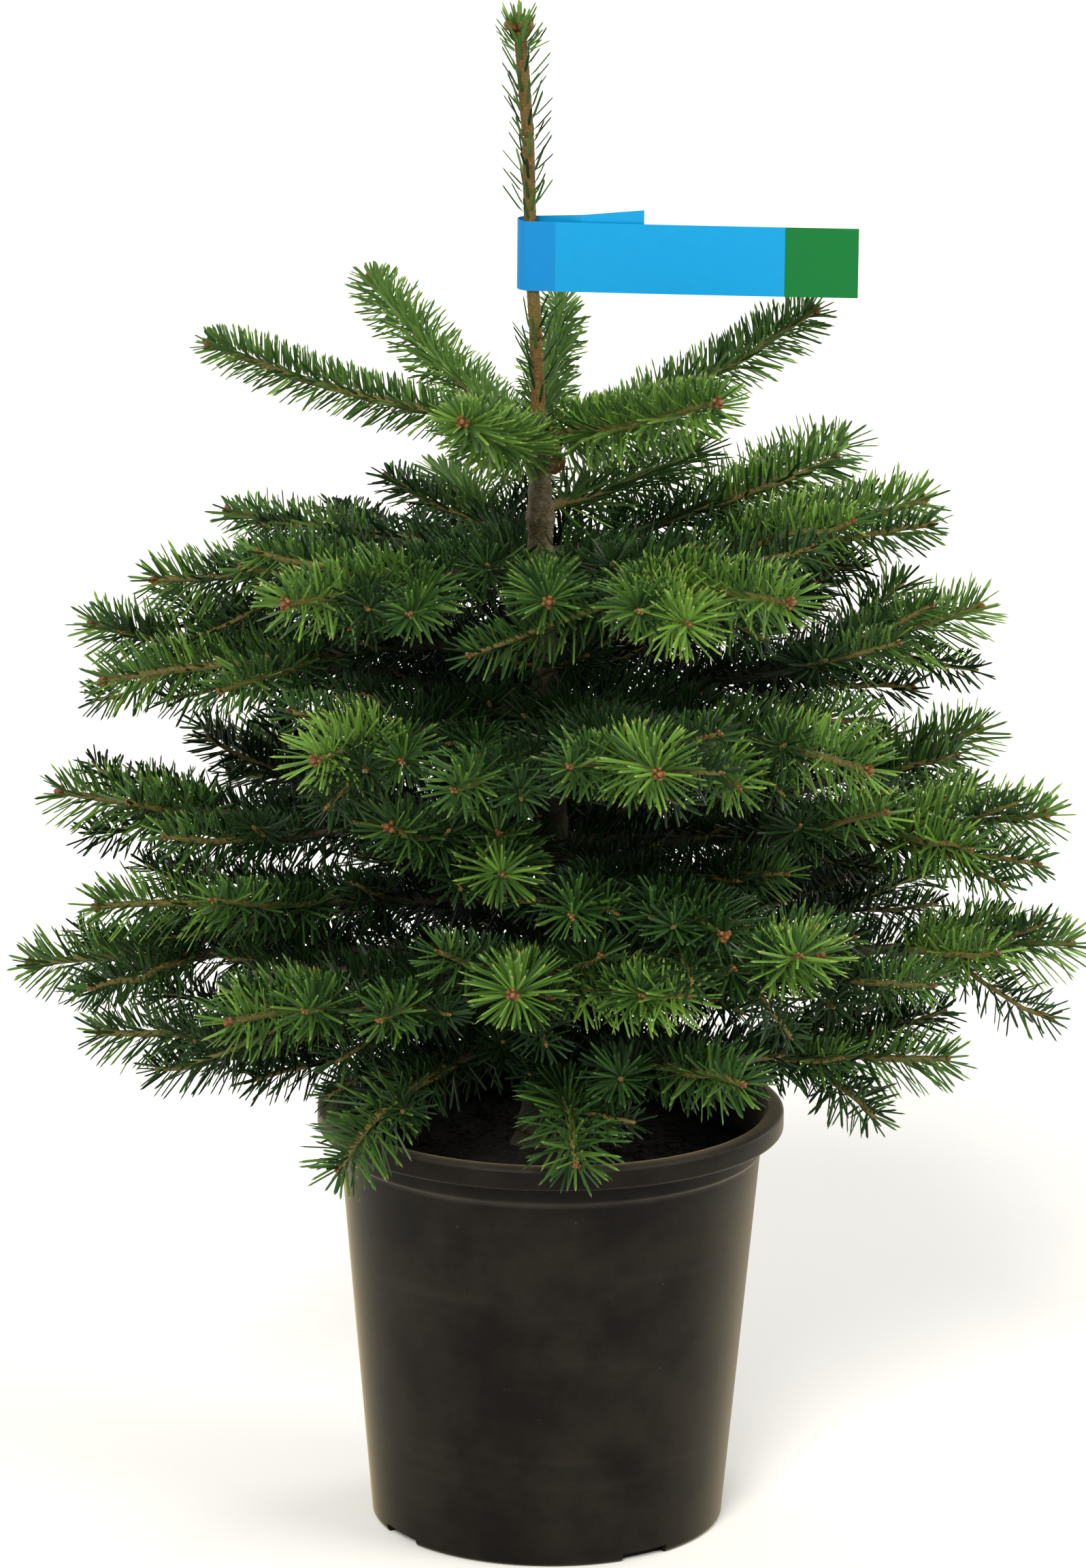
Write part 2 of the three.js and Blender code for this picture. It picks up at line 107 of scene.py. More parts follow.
def photo_camera():
    """The camera, turned by the pitch, roll and yaw that the photo was taken with."""
    pitch, roll, yaw = (math.radians(VIEW[turn]) for turn in ("pitch", "roll", "yaw"))
    ahead = Vector((math.sin(yaw) * math.cos(pitch), math.cos(yaw) * math.cos(pitch),
                    -math.sin(pitch)))
    level = ahead.cross(Vector((0, 0, 1))).normalized()
    upright = level.cross(ahead)
    right = level * math.cos(roll) + upright * math.sin(roll)
    up = upright * math.cos(roll) - level * math.sin(roll)
    camera = bpy.data.objects.new("camera", bpy.data.cameras.new("camera"))
    camera.data.lens = LENS
    camera.data.sensor_fit = "VERTICAL"
    camera.data.sensor_height = SENSOR
    turned = Matrix((right, up, -ahead)).transposed().to_4x4()
    camera.matrix_world = Matrix.Translation((0, -VIEW["distance"], VIEW["height"])) @ turned
    bpy.context.scene.collection.objects.link(camera)
    bpy.context.scene.camera = camera


def soft_lamp(name, source, spread, strength):
    """A far, wide lamp that shines from a direction, with soft shadows and no falloff."""
    lamp = bpy.data.lights.new(name, "SUN")
    lamp.angle = math.radians(spread)
    lamp.energy = strength
    lamp.color = linear(LAMP_COLOUR)[:3]
    holder = bpy.data.objects.new(name, lamp)
    holder.rotation_euler = (-Vector(source)).to_track_quat("-Z", "Y").to_euler()
    bpy.context.scene.collection.objects.link(holder)


def studio_floor():
    half = FLOOR_SIZE / 2
    mesh = bpy.data.meshes.new("studio_floor")
    corners = [(-half, FLOOR_AHEAD - half, 0), (half, FLOOR_AHEAD - half, 0),
               (half, FLOOR_AHEAD + half, 0), (-half, FLOOR_AHEAD + half, 0)]
    mesh.from_pydata(corners, [], [(0, 1, 2, 3)])
    paint, tree, shader = finish_named("matt studio paint", 0.9, 0.1)
    grain = node(tree, "ShaderNodeTexNoise", {"Scale": 3, "Detail": 2})
    dress(tree, shader, {
        "Base Color": mixed(tree, grain.outputs["Fac"], "#F4F4F3", "#F8F8F7")})
    mesh.materials.append(paint)
    floor = bpy.data.objects.new("studio_floor", mesh)
    bpy.context.scene.collection.objects.link(floor)


photo_camera()
for name, lamp in LAMPS.items():
    soft_lamp(name, lamp["from"], lamp["spread"], lamp["strength"])
studio_floor()
sky = bpy.data.worlds.new("white sky")
sky.use_nodes = True
backdrop = sky.node_tree.nodes["Background"]
backdrop.inputs["Color"].default_value = linear("#FFFFFF")
seen = node(sky.node_tree, "ShaderNodeLightPath")
level = ranged(sky.node_tree, seen.outputs["Is Camera Ray"], start=SKY_STRENGTH)
sky.node_tree.links.new(level, backdrop.inputs["Strength"])
bpy.context.scene.world = sky
bpy.context.scene.view_settings.view_transform = "Standard"

# Nursery pot: one injection-moulded shell of recycled black polypropylene, with a
# collar band and a thick rolled lip, and four drain notches cut through its foot.
MM = 0.001
POT_HEIGHT = 220
POT_BASE_RADIUS = 90.7
POT_SHOULDER_RADIUS = 108.4
COLLAR_RADIUS = 110
COLLAR_HEIGHT = 11
LIP_RADIUS = 120
LIP_HEIGHT = 11
POT_WALL = 2
POT_FLOOR = 3
POT_SEGMENTS = 144
SHOULDER = POT_HEIGHT - LIP_HEIGHT - COLLAR_HEIGHT
DRAIN = {"count": 4, "first": 34, "width": 27, "height": 4.5, "depth": 12}
EDGE_ANGLE = 35
EDGE_ROUNDING = 2.2


def wall_radius(z):
    """Radius of the pot's outer wall, in mm, at a height below the collar."""
    return POT_BASE_RADIUS + (POT_SHOULDER_RADIUS - POT_BASE_RADIUS) * z / SHOULDER


def piece_from(name, points, faces, materials, slots=None, smooth=True):
    """A piece from points in mm and faces, with its materials and its faces' slots."""
    mesh = bpy.data.meshes.new(name)
    mesh.from_pydata(np.asarray(points, float) * MM, [], faces, shade_flat=not smooth)
    for material in materials:
        mesh.materials.append(material)
    if slots is not None:
        mesh.polygons.foreach_set("material_index", np.asarray(slots, np.int32))
    mesh.validate()
    piece = bpy.data.objects.new(name, mesh)
    bpy.context.scene.collection.objects.link(piece)
    return piece


def rounded(profile, radius, steps=4):
    """The [radius, height] outline with each of its corners rounded off."""
    spots = [np.array(spot, float) for spot in profile]
    outline = [spots[0]]
    for before, corner, after in zip(spots, spots[1:], spots[2:]):
        arms = [before - corner, after - corner]
        lengths = [np.linalg.norm(arm) for arm in arms]
        cut = min(radius, 0.45 * min(lengths))
        start, end = (corner + arm * cut / length for arm, length in zip(arms, lengths))
        for share in np.linspace(0, 1, steps):
            outline.append(start * (1 - share) ** 2 + 2 * corner * share * (1 - share)
                           + end * share ** 2)
    return outline + [spots[-1]]


def turned(outline, segments):
    """Points and faces of a solid of revolution whose outline starts and ends on the axis."""
    angles = np.linspace(0, 2 * math.pi, segments, endpoint=False)
    points = [(0, 0, outline[0][1])]
    for radius, height in outline[1:-1]:
        points += [(radius * math.cos(a), radius * math.sin(a), height) for a in angles]
    points.append((0, 0, outline[-1][1]))
    faces = []
    rows = len(outline) - 2
    for k in range(segments):
        after = (k + 1) % segments
        faces.append((0, 1 + after, 1 + k))
        for row in range(rows - 1):
            low = 1 + row * segments
            faces.append((low + k, low + after, low + segments + after, low + segments + k))
        last = 1 + (rows - 1) * segments
        faces.append((last + k, last + after, len(points) - 1))
    return points, faces


def drain_cutter():
    """Four blocks that cut the drain notches, as one mesh."""
    points = []
    faces = []
    for i in range(DRAIN["count"]):
        angle = math.radians(DRAIN["first"] + 360 * i / DRAIN["count"] - 90)
        turn = Matrix.Rotation(angle, 3, "Z")
        first = len(points)
        for x in (-1, 1):
            for y in (-1, 1):
                for z in (-1, 1):
                    corner = Vector((POT_BASE_RADIUS + x * DRAIN["depth"] / 2,
                                     y * DRAIN["width"] / 2, z * DRAIN["height"]))
                    points.append(turn @ corner)
        faces += [tuple(first + c for c in face) for face in (
            (0, 1, 3, 2), (4, 6, 7, 5), (0, 4, 5, 1), (2, 3, 7, 6), (0, 2, 6, 4), (1, 5, 7, 3))]
    return piece_from("drain_cutter", points, faces, [], smooth=False)


def with_modifiers(piece):
    """Replaces the piece's mesh by what its modifiers make of it, and removes them."""
    evaluated = piece.evaluated_get(bpy.context.evaluated_depsgraph_get())
    mesh = bpy.data.meshes.new_from_object(evaluated)
    piece.modifiers.clear()
    piece.data = mesh
    mesh.set_sharp_from_angle(angle=math.radians(EDGE_ANGLE))


def place_in(tree):
    """Place on the piece, which is also its place in the shared frame."""
    return node(tree, "ShaderNodeTexCoord").outputs["Object"]


def upward(tree, vector):
    return node(tree, "ShaderNodeSeparateXYZ", {"Vector": vector}).outputs["Z"]


def stretched(tree, place, scale):
    return node(tree, "ShaderNodeMapping", {"Vector": place, "Scale": scale}).outputs["Vector"]


def speckle(tree, place, size, detail, roughness=0.5):
    """Noise between 0 and 1, with grains of a size in mm."""
    return node(tree, "ShaderNodeTexNoise", {
        "Vector": place, "Scale": 1 / (size * MM), "Detail": detail,
        "Roughness": roughness}).outputs["Fac"]


def cells(tree, place, size):
    """Distance to the nearest of many scattered spots, which lie a size in mm apart."""
    return node(tree, "ShaderNodeTexVoronoi", {
        "Vector": place, "Scale": 1 / (size * MM)}).outputs["Distance"]


def worked_out(tree, operation, *values):
    """Result of a sum on values or output sockets."""
    return node(tree, "ShaderNodeMath", dict(enumerate(values)),
                operation=operation).outputs["Value"]


def bumps(tree, height, strength, depth):
    """Normals of a fine relief with a depth in mm."""
    return node(tree, "ShaderNodeBump", {
        "Height": height, "Strength": strength, "Distance": depth * MM}).outputs["Normal"]


# Recycled polypropylene from a grained mould: near black, satin and blotched, with pale
# dust in level scuffs and a few specks, and pale dust with a painted highlight on the top of the
# rim and along the foot of the collar.
pot_plastic, tree, shader = finish_named("moulded black polypropylene", 0.5, 0.09)
place = place_in(tree)
clouds = speckle(tree, place, 40, 5, 0.6)
grain = speckle(tree, place, 1.1, 3)
body = mixed(tree, ranged(tree, clouds, 0.38, 0.64), "#030202", "#221E18")
grained = mixed(tree, grain, body, "#15120E")
over_collar = worked_out(tree, "SUBTRACT", upward(tree, place), SHOULDER * MM)
off_collar = worked_out(tree, "ABSOLUTE", over_collar)
# A pale band at the foot of the collar: dust with a painted highlight.
collar_dust_and_highlight = ranged(tree, off_collar, 0, 2.4 * MM, 0.5, 0)
facing = node(tree, "ShaderNodeNewGeometry").outputs["Normal"]
# Painted sheen: faces that look upward, the top of the rim most, are paler. This is partly dust
# and partly a painted highlight.
rim_dust_and_sheen = ranged(tree, upward(tree, facing), 0.15, 0.9, 0, 0.7)
specks = ranged(tree, cells(tree, place, 15), 0.03, 0.045, 0.3, 0)
streaks = speckle(tree, stretched(tree, place, (0.07, 0.07, 1)), 9, 3)
scuffs = ranged(tree, streaks, 0.56, 0.78, 0, 0.09)
settled_dust_and_highlight = worked_out(tree, "MAXIMUM", worked_out(tree, "MAXIMUM", collar_dust_and_highlight, rim_dust_and_sheen), scuffs)
patchy_dust_and_highlight = worked_out(tree, "MULTIPLY", settled_dust_and_highlight, clouds)
all_dust_and_highlight = worked_out(tree, "MAXIMUM", patchy_dust_and_highlight, specks)
shader.inputs["Sheen Weight"].default_value = 0.55
shader.inputs["Sheen Roughness"].default_value = 0.3
shader.inputs["Sheen Tint"].default_value = linear("#E8D4A0")
dress(tree, shader, {
    "Base Color": mixed(tree, all_dust_and_highlight, grained, "#56504A"),
    "Roughness": ranged(tree, clouds, start=0.4, end=0.56),
    "Normal": bumps(tree, grain, 0.25, 0.12)})

lip_foot = POT_HEIGHT - LIP_HEIGHT
mouth = COLLAR_RADIUS - POT_WALL
pot_profile = [
    [0, 0], [POT_BASE_RADIUS - 1.5, 0], [wall_radius(1.5), 1.5], [wall_radius(5), 5],
    [wall_radius(SHOULDER), SHOULDER], [COLLAR_RADIUS - 0.3, SHOULDER + 1.2],
    [COLLAR_RADIUS, lip_foot], [LIP_RADIUS - 0.6, lip_foot], [LIP_RADIUS, lip_foot + 1],
    [LIP_RADIUS, POT_HEIGHT - 1], [LIP_RADIUS - 2.5, POT_HEIGHT], [mouth + 2.5, POT_HEIGHT],
    [mouth, lip_foot], [wall_radius(SHOULDER) - POT_WALL, SHOULDER],
    [wall_radius(POT_FLOOR + 2) - POT_WALL, POT_FLOOR + 2],
    [wall_radius(POT_FLOOR) - POT_WALL - 2, POT_FLOOR], [0, POT_FLOOR]]
pot = piece_from(
    "nursery_pot", *turned(rounded(pot_profile, EDGE_ROUNDING), POT_SEGMENTS), [pot_plastic])
cutter = drain_cutter()
notches = pot.modifiers.new("drain notches", "BOOLEAN")
notches.operation = "DIFFERENCE"
notches.solver = "EXACT"
notches.object = cutter
with_modifiers(pot)
bpy.data.objects.remove(cutter)
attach(pot, "root")
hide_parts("pot")

# Compost: moist peat and fine bark that fills the pot to 20 mm under its lip, a little
# lower at the wall, with loose chips and crumbs lying on top.
SOIL_LEVEL = 200
SOIL_EDGE_DROP = 4
SOIL_GAP = 0.3
SOIL_RINGS = 46
SOIL_SEGMENTS = 120
SOIL_LUMPS = [{"out": 1.5, "wide": 17, "at": 0}, {"out": 0.9, "wide": 3.4, "at": 9}]
CHIPS = {"per square metre": 45000, "smallest": 1.2, "largest": 4.6, "seed": 11}


def compost_points():
    """Underside, wall and rough top of the compost, from the axis back to the axis."""
    inside = wall_radius(SOIL_LEVEL - SOIL_EDGE_DROP) - POT_WALL - SOIL_GAP
    foot = POT_FLOOR + SOIL_GAP
    base = wall_radius(foot) - POT_WALL - SOIL_GAP
    outline = [[0, foot], [base - 3, foot], [base - 0.5, foot + 3],
               [inside, SOIL_LEVEL - SOIL_EDGE_DROP]]
    for share in np.linspace(1, 0, SOIL_RINGS):
        outline.append([inside * share * 0.995, SOIL_LEVEL - SOIL_EDGE_DROP * share ** 3])
    points, faces = turned(outline, SOIL_SEGMENTS)
    rough = []
    for x, y, z in points:
        if z >= SOIL_LEVEL - SOIL_EDGE_DROP and math.hypot(x, y) < inside * 0.99:
            z += sum(lump["out"] * noise.noise(Vector((x, y, lump["at"])) / lump["wide"])
                     for lump in SOIL_LUMPS)
        rough.append((x, y, z))
    return rough, faces


def tree_with(name, inputs):
    """A new geometry tree with these inputs and one output, and its inputs' sockets."""
    tree = bpy.data.node_groups.new(name, "GeometryNodeTree")
    for label, kind in inputs.items():
        tree.interface.new_socket(label, in_out="INPUT", socket_type=f"NodeSocket{kind}")
    tree.interface.new_socket("Laid", in_out="OUTPUT", socket_type="NodeSocketGeometry")
    return tree, node(tree, "NodeGroupInput").outputs


def lay(tree, points, shape, turns, sizes, finish):
    """Ends a tree with a shape on each point, turned, sized and in one material."""
    laid = node(tree, "GeometryNodeInstanceOnPoints", {
        "Points": points, "Instance": shape, "Rotation": turns, "Scale": sizes})
    real = node(tree, "GeometryNodeRealizeInstances", {"Geometry": laid.outputs["Instances"]})
    dressed = node(tree, "GeometryNodeSetMaterial", {
        "Geometry": real.outputs["Geometry"], "Material": finish})
    node(tree, "NodeGroupOutput", {"Laid": dressed.outputs["Geometry"]})


def scatter_tree():
    """Node tree that scatters flat crumbs over a surface, each turned and sized at random."""
    tree, given = tree_with("loose crumbs", {
        "Surface": "Geometry", "Density": "Float", "Smallest": "Float", "Largest": "Float",
        "Seed": "Int", "Finish": "Material"})
    facing = upward(tree, node(tree, "GeometryNodeInputNormal").outputs["Normal"])
    level = node(tree, "FunctionNodeCompare", {0: facing, 1: 0.5},
                 data_type="FLOAT", operation="GREATER_THAN")
    spots = node(tree, "GeometryNodeDistributePointsOnFaces", {
        "Mesh": given["Surface"], "Selection": level.outputs["Result"],
        "Density": given["Density"], "Seed": given["Seed"]})
    crumb = node(tree, "GeometryNodeMeshIcoSphere", {"Radius": 0.5, "Subdivisions": 1})
    sizes = node(tree, "FunctionNodeRandomValue", {
        2: given["Smallest"], 3: given["Largest"], "Seed": given["Seed"]}, data_type="FLOAT")
    turns = node(tree, "FunctionNodeRandomValue", {
        0: (-0.5, -0.5, 0), 1: (0.5, 0.5, 2 * math.pi), "Seed": given["Seed"]},
        data_type="FLOAT_VECTOR")
    flat = node(tree, "GeometryNodeTransform", {
        "Geometry": crumb.outputs["Mesh"], "Scale": (1.5, 0.8, 0.45)})
    lay(tree, spots.outputs["Points"], flat.outputs["Geometry"], turns.outputs[0],
        sizes.outputs[1], given["Finish"])
    return tree


def with_tree(piece, tree, values):
    """Runs a node tree on a piece, with its named inputs set, and keeps the mesh it makes."""
    modifier = piece.modifiers.new(tree.name, "NODES")
    modifier.node_group = tree
    for item in tree.interface.items_tree:
        if item.in_out == "INPUT" and item.name in values:
            modifier[item.identifier] = values[item.name]
    with_modifiers(piece)


# Peat and composted bark: brown-black when moist, fully matt, with dry lighter crumbs.
def crumbly(name, dark, light):
    material, tree, shader = finish_named(name, 0.95, 0.2)
    crumbs = speckle(tree, place_in(tree), 3, 6, 0.7)
    dress(tree, shader, {
        "Base Color": mixed(tree, ranged(tree, crumbs, 0.35, 0.7), dark, light),
        "Normal": bumps(tree, crumbs, 0.7, 0.8)})
    return material


peat = crumbly("moist peat", "#070605", "#1A1512")
chip_bark = crumbly("bark chips", "#0E0B09", "#2A211B")
soil = compost_points()
compost = piece_from("compost_fill", *soil, [peat])
chips = piece_from("bark_crumbs", *soil, [chip_bark], smooth=False)
with_tree(chips, scatter_tree(), {
    "Density": CHIPS["per square metre"], "Smallest": CHIPS["smallest"] * MM,
    "Largest": CHIPS["largest"] * MM, "Seed": CHIPS["seed"], "Finish": chip_bark})
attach(compost, "root")
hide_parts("compost")
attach(chips, "root")

# Trunk: one stem of nine years' growth, 20 mm thick, flared where it enters the compost.
# Its thin bark is smooth between the whorls, with resin blisters and swollen collars.
TRUNK_LINE = [
    [196, -6, 16], [200.3, -6, 15], [205, -6, 11.5], [215, -5, 10.2], [256, -2, 9.6],
    [298, -1, 9.2], [356, 0, 8.4], [432, -5, 7.4], [503, -8, 6.5], [527, -8, 6.1], [569, -9, 5.4]]
LEADER_LINE = [
    [580, -9.5, 3.6], [618, -11, 3.2], [659, -14, 3.1], [721, -16, 3], [768, -20, 3.1],
    [780, -21, 1.2]]
TRUNK_SIDES = 60
TRUNK_PITCH = 1.6
FLARE = {"height": 206, "lobes": 5, "out": 1.6, "reach": 9}
COLLAR = {"out": 1.3, "half": 6}
BLISTERS = {"count": 300, "out": 0.55, "wide": 1.5, "tall": 0.8, "from": 208, "to": 575,
            "seed": 5}
BARK_LUMPS = [{"out": 0.35, "wide": 2.1}, {"out": 0.5, "wide": 9}]
WHORL_HEIGHTS = [256, 298, 327, 356, 432, 461, 503, 527, 569]
LEADER_SIDES = 20


def trunk_at(z):
    """Lean in x and radius of the trunk or leader, in mm, at a height or heights."""
    heights, leans, radii = np.array(TRUNK_LINE + LEADER_LINE).T
    return np.interp(z, heights, leans), np.interp(z, heights, radii)


def stem_line(heights):
    """Centre line and radii of the trunk or leader at these heights."""
    lean, radii = trunk_at(heights)
    return np.stack([lean, np.zeros_like(lean), heights], 1), radii


def unit(vectors):
    return vectors / np.linalg.norm(vectors, axis=1)[:, None]


def frames_along(path):
    """Unit vectors ahead, to the right and up, at each point of a path."""
    ahead = unit(np.gradient(path, axis=0))
    right = np.cross(ahead, (0, 0, 1))
    length = np.linalg.norm(right, axis=1)[:, None]
    right = np.where(length > 0.05, right / np.maximum(length, 1e-6), (1, 0, 0))
    return ahead, right, np.cross(right, ahead)


def tube(path, radii, sides):
    """Points and triangles of a closed stem; radii are by ring, or by ring and side."""
    ahead, right, up = frames_along(path)
    radii = np.broadcast_to(np.asarray(radii, float).reshape(len(path), -1), (len(path), sides))
    angles = np.linspace(0, 2 * math.pi, sides, endpoint=False)
    rays = (np.cos(angles)[None, :, None] * up[:, None] + np.sin(angles)[None, :, None]
            * right[:, None])
    rings = path[:, None] + radii[:, :, None] * rays
    foot = path[0] - ahead[0] * radii[0].mean() * 0.4
    tip = path[-1] + ahead[-1] * radii[-1].mean() * 0.6
    points = np.vstack([rings.reshape(-1, 3), foot, tip])
    k, side = np.meshgrid(np.arange(len(path) - 1), np.arange(sides), indexing="ij")
    a = (k * sides + side).ravel()
    b = (k * sides + (side + 1) % sides).ravel()
    c = b + sides
    d = a + sides
    spokes = np.arange(sides)
    after = (spokes + 1) % sides
    last = (len(path) - 1) * sides
    ends = [np.stack([after, spokes, np.full(sides, len(points) - 2)], 1),
            np.stack([last + spokes, last + after, np.full(sides, len(points) - 1)], 1)]
    return points, np.vstack([np.stack([a, b, c], 1), np.stack([a, c, d], 1), *ends])


def trunk_relief(heights, radii):
    """Radius by ring and side: flare lobes, collars at the whorls, blisters and fine bark."""
    angles = np.linspace(0, 2 * math.pi, TRUNK_SIDES, endpoint=False)
    z = heights[:, None]
    near_soil = np.exp(-np.maximum(z - SOIL_LEVEL, 0) / FLARE["reach"])
    relief = radii[:, None] + FLARE["out"] * near_soil * np.sin(FLARE["lobes"] * angles + 0.7)
    for whorl in WHORL_HEIGHTS:
        relief = relief + COLLAR["out"] * np.exp(-((z - whorl) / COLLAR["half"]) ** 2)
    rng = np.random.default_rng(BLISTERS["seed"])
    for _ in range(BLISTERS["count"]):
        height = rng.uniform(BLISTERS["from"], BLISTERS["to"])
        angle = rng.uniform(0, 2 * math.pi)
        across = (np.mod(angles - angle + math.pi, 2 * math.pi) - math.pi) * radii[:, None]
        near = np.exp(-(across / BLISTERS["wide"]) ** 2 - ((z - height) / BLISTERS["tall"]) ** 2)
        relief = relief + BLISTERS["out"] * rng.uniform(0.4, 1) * near
    for i, height in enumerate(heights):
        for j, angle in enumerate(angles):
            spot = Vector((radii[i] * math.cos(angle), radii[i] * math.sin(angle), height))
            relief[i, j] += sum(
                lump["out"] * noise.noise(spot / lump["wide"]) for lump in BARK_LUMPS)
    return relief


# Fir bark: thin, grey-brown and slightly resinous, patched with pale lichen or green
# algae and freckled with pale corky pores. Low on the trunk it is painted darker, as painted
# shade under the boughs.
def bark(name, shade, light, patches, grain_mm, roughness=0.78, low_shade_strength=0.0):
    material, tree, shader = finish_named(name, roughness, 0.35)
    place = place_in(tree)
    squat = stretched(tree, place, (1, 1, 2.2))
    grain = speckle(tree, squat, grain_mm, 6, 0.7)
    base = mixed(tree, ranged(tree, grain, 0.36, 0.66), shade, light)
    film = ranged(tree, speckle(tree, place, 9, 5, 0.65), 0.48, 0.7, 0, 0.6)
    pores = ranged(tree, cells(tree, squat, grain_mm * 2), 0.16, 0.05, 0, 0.55)
    dotted = mixed(tree, pores, mixed(tree, film, base, patches), "#A08F74")
    # Painted shade: from 490 mm down to 430 mm the bark darkens towards near black, where the
    # boughs above shade the trunk.
    painted_low_shade = ranged(tree, upward(tree, place), 490 * MM, 430 * MM, 0, low_shade_strength)
    dress(tree, shader, {
        "Base Color": mixed(tree, painted_low_shade, dotted, "#171510"),
        "Normal": bumps(tree, grain, 0.6, 0.5)})
    return material


trunk_bark = bark("grey fir bark", "#2E2618", "#857856", "#A29C80", 1.6, low_shade_strength=0.8)
leader_bark = bark("this year's brown bark", "#3A2E12", "#806224", "#545E28", 1.3, 0.6)
heights = np.arange(TRUNK_LINE[0][0], TRUNK_LINE[-1][0] + 10, TRUNK_PITCH)
line, radii = stem_line(heights)
trunk = piece_from(
    "trunk_stem", *tube(line, trunk_relief(heights, radii), TRUNK_SIDES), [trunk_bark])
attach(trunk, "root")
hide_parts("trunk")

heights = np.arange(LEADER_LINE[0][0] - 6, LEADER_LINE[-1][0] - 6, TRUNK_PITCH)
line, radii = stem_line(heights)
ripple = 0.25 * np.sin(heights[:, None] * 1.3 + np.arange(LEADER_SIDES)[None] * 2.4)
leader = piece_from(
    "leader_stem", *tube(line, radii[:, None] + ripple, LEADER_SIDES), [leader_bark])
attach(leader, "root")

# Boughs: tiers of side branches round the trunk, each a tapering limb that forks in
# pairs at every year's node. The rule and the numbers are those of the solid model.
WHORLS = [
    ("top", 569, [
        [172, 168, 41, 1], [121, 172, 54, 1], [86, 141, 44, 1],
        [20, 147, 56, 1], [-52, 140, 38, 1], [-104, 150, 34, 1]]),
    ("single_high", 527, [[52, 128, 14, 1]]),
    ("upper", 503, [
        [152, 182, 8, 2], [108, 165, 14, 2], [36, 192, 42, 2], [1, 192, 34, 2],
        [-53, 200, 16, 2], [-88, 131, 9, 1], [-130, 190, 10, 2], [-172, 194, -4, 2]]),
    ("single_mid", 461, [[-164, 226, -6, 2]]),
    ("middle", 432, [
        [175, 230, 34, 3], [118, 214, 22, 3], [62, 222, 24, 3], [8, 222, 44, 3],
        [-40, 206, -2, 2], [-76, 226, 16, 3], [-125, 192, 6, 3]]),
    ("lower", 356, [
        [180, 250, 26, 3], [132, 236, 14, 3], [78, 236, 12, 3], [26, 246, 38, 3],
        [-8, 250, 28, 3], [-62, 178, -4, 3], [-120, 160, 44, 2]]),
    ("single_low", 327, [[-170, 232, 6, 2]]),
    ("broad", 298, [
        [106, 244, 2, 3], [52, 248, 8, 3], [-2, 264, 12, 3], [-50, 204, 44, 3],
        [-96, 170, 26, 2], [-142, 200, -2, 3], [-178, 264, -4, 3]]),
    ("skirt", 256, [
        [-172, 230, 8, 2], [122, 196, -16, 2], [58, 196, -16, 2],
        [-14, 208, 4, 2], [-56, 172, 16, 2], [-84, 142, -26, 2], [-130, 160, -36, 2]]),
]
STAGGER = 4
YEAR_NODES = {1: [], 2: [0.5], 3: [0.37, 0.68]}
RISING_BEND = 1.5
FALLING_BEND = 4
BOUGH_STEPS = 8
SIDE_SHARE = [0.74, 0.16]
SIDE_ANGLE = [44, 10]
SIDE_SLOPE = 0.42
SIDE_SLOPE_CENTRE = 0.4
SIDE_STEPS = 5
SIDE_TURN = 0.08
SIDE_TRIES = [1, 0.8, 0.6, 0.45]
SIDE_LOOK_AHEAD = 0.12
TWIG_DROOP = 0.03
FALLING_DROOP = 0.5
TWIG_MARGIN = 4
TWIG_CLEARANCE = 17
TAG_ROOM = {"low": 643.5, "high": 684.5, "left": -20.7, "right": 149.6, "half": 9.2}

# The finer twigs that the solid model leaves out: small forks on the side twigs, single
# twigs between a bough's yearly nodes, which stand out at its sides or hang below it
# with their ends turned up, and small twigs round the trunk.
FINE_FORK = {"node": 0.52, "along": 0.6, "longest": 0.8, "varies": 0.15}
SINGLE_TWIGS = {
    "short": {"at": {2: [0.24, 0.36, 0.74], 3: [0.2, 0.28, 0.52, 0.84]}, "draws": 4,
              "turn": (48, 14), "reach": (24, 24), "slope": (-0.18, 0.6), "droop": 0.05},
    "hanging": {"at": {2: [0.6], 3: [0.44, 0.76]}, "draws": 3,
                "turn": (12, 30), "reach": (42, 30), "slope": (-0.75, 0.3), "droop": 0.09}}
TRUNK_TWIGS = {
    "rows": [(312, 4), (340, 4), (372, 5), (392, 5), (410, 5), (448, 6), (468, 6), (486, 6)],
    "above": 9, "inside": 0.6, "length": (40, 36), "slope": (0.2, 0.3), "droop": 0.04,
    "reach": 200, "seed": 501}
FINE_LEAST = 23.4
FINE_MARGIN = 3
FINE_CLEARANCE = 9
LEFT_OUT = {"skirt_6": 2, "skirt_7": 1}
# Strong single twigs on the near boughs: where on the bough each one leaves, then its
# heading, its slope, its length and the green that is dealt to it.
FRONT_TWIGS = {
    "upper_5": [[0.45, -79, -0.07, 95, 0], [0.5, -156, -0.33, 106, 2]],
    "upper_4": [[0.5, -22, 0.13, 108, 2]],
    "middle_4": [[0.5, -12, -0.12, 78, 4]],
    "lower_5": [[0.6, -22, -0.12, 102, 2]],
    "lower_7": [[0.35, -88, 0.04, 92, 1]],
    "broad_4": [[0.84, -76, 0.28, 50, 1]],
    "broad_5": [[0.45, -50, 0.07, 118, 0]],
    "skirt_1": [[0.45, -170, -0.22, 100, 3], [0.3, -160, -0.27, 88, 3]],
    "skirt_4": [[0.66, -59, -0.35, 63, 3], [0.6, 6, 0.2, 84, 3]]}


def random_from(seed):
    """Seeded random numbers between 0 and 1, the same as in the solid model."""
    state = seed
    while True:
        state = (state * 1664525 + 1013904223) & 0xFFFFFFFF
        yield state / 4294967296


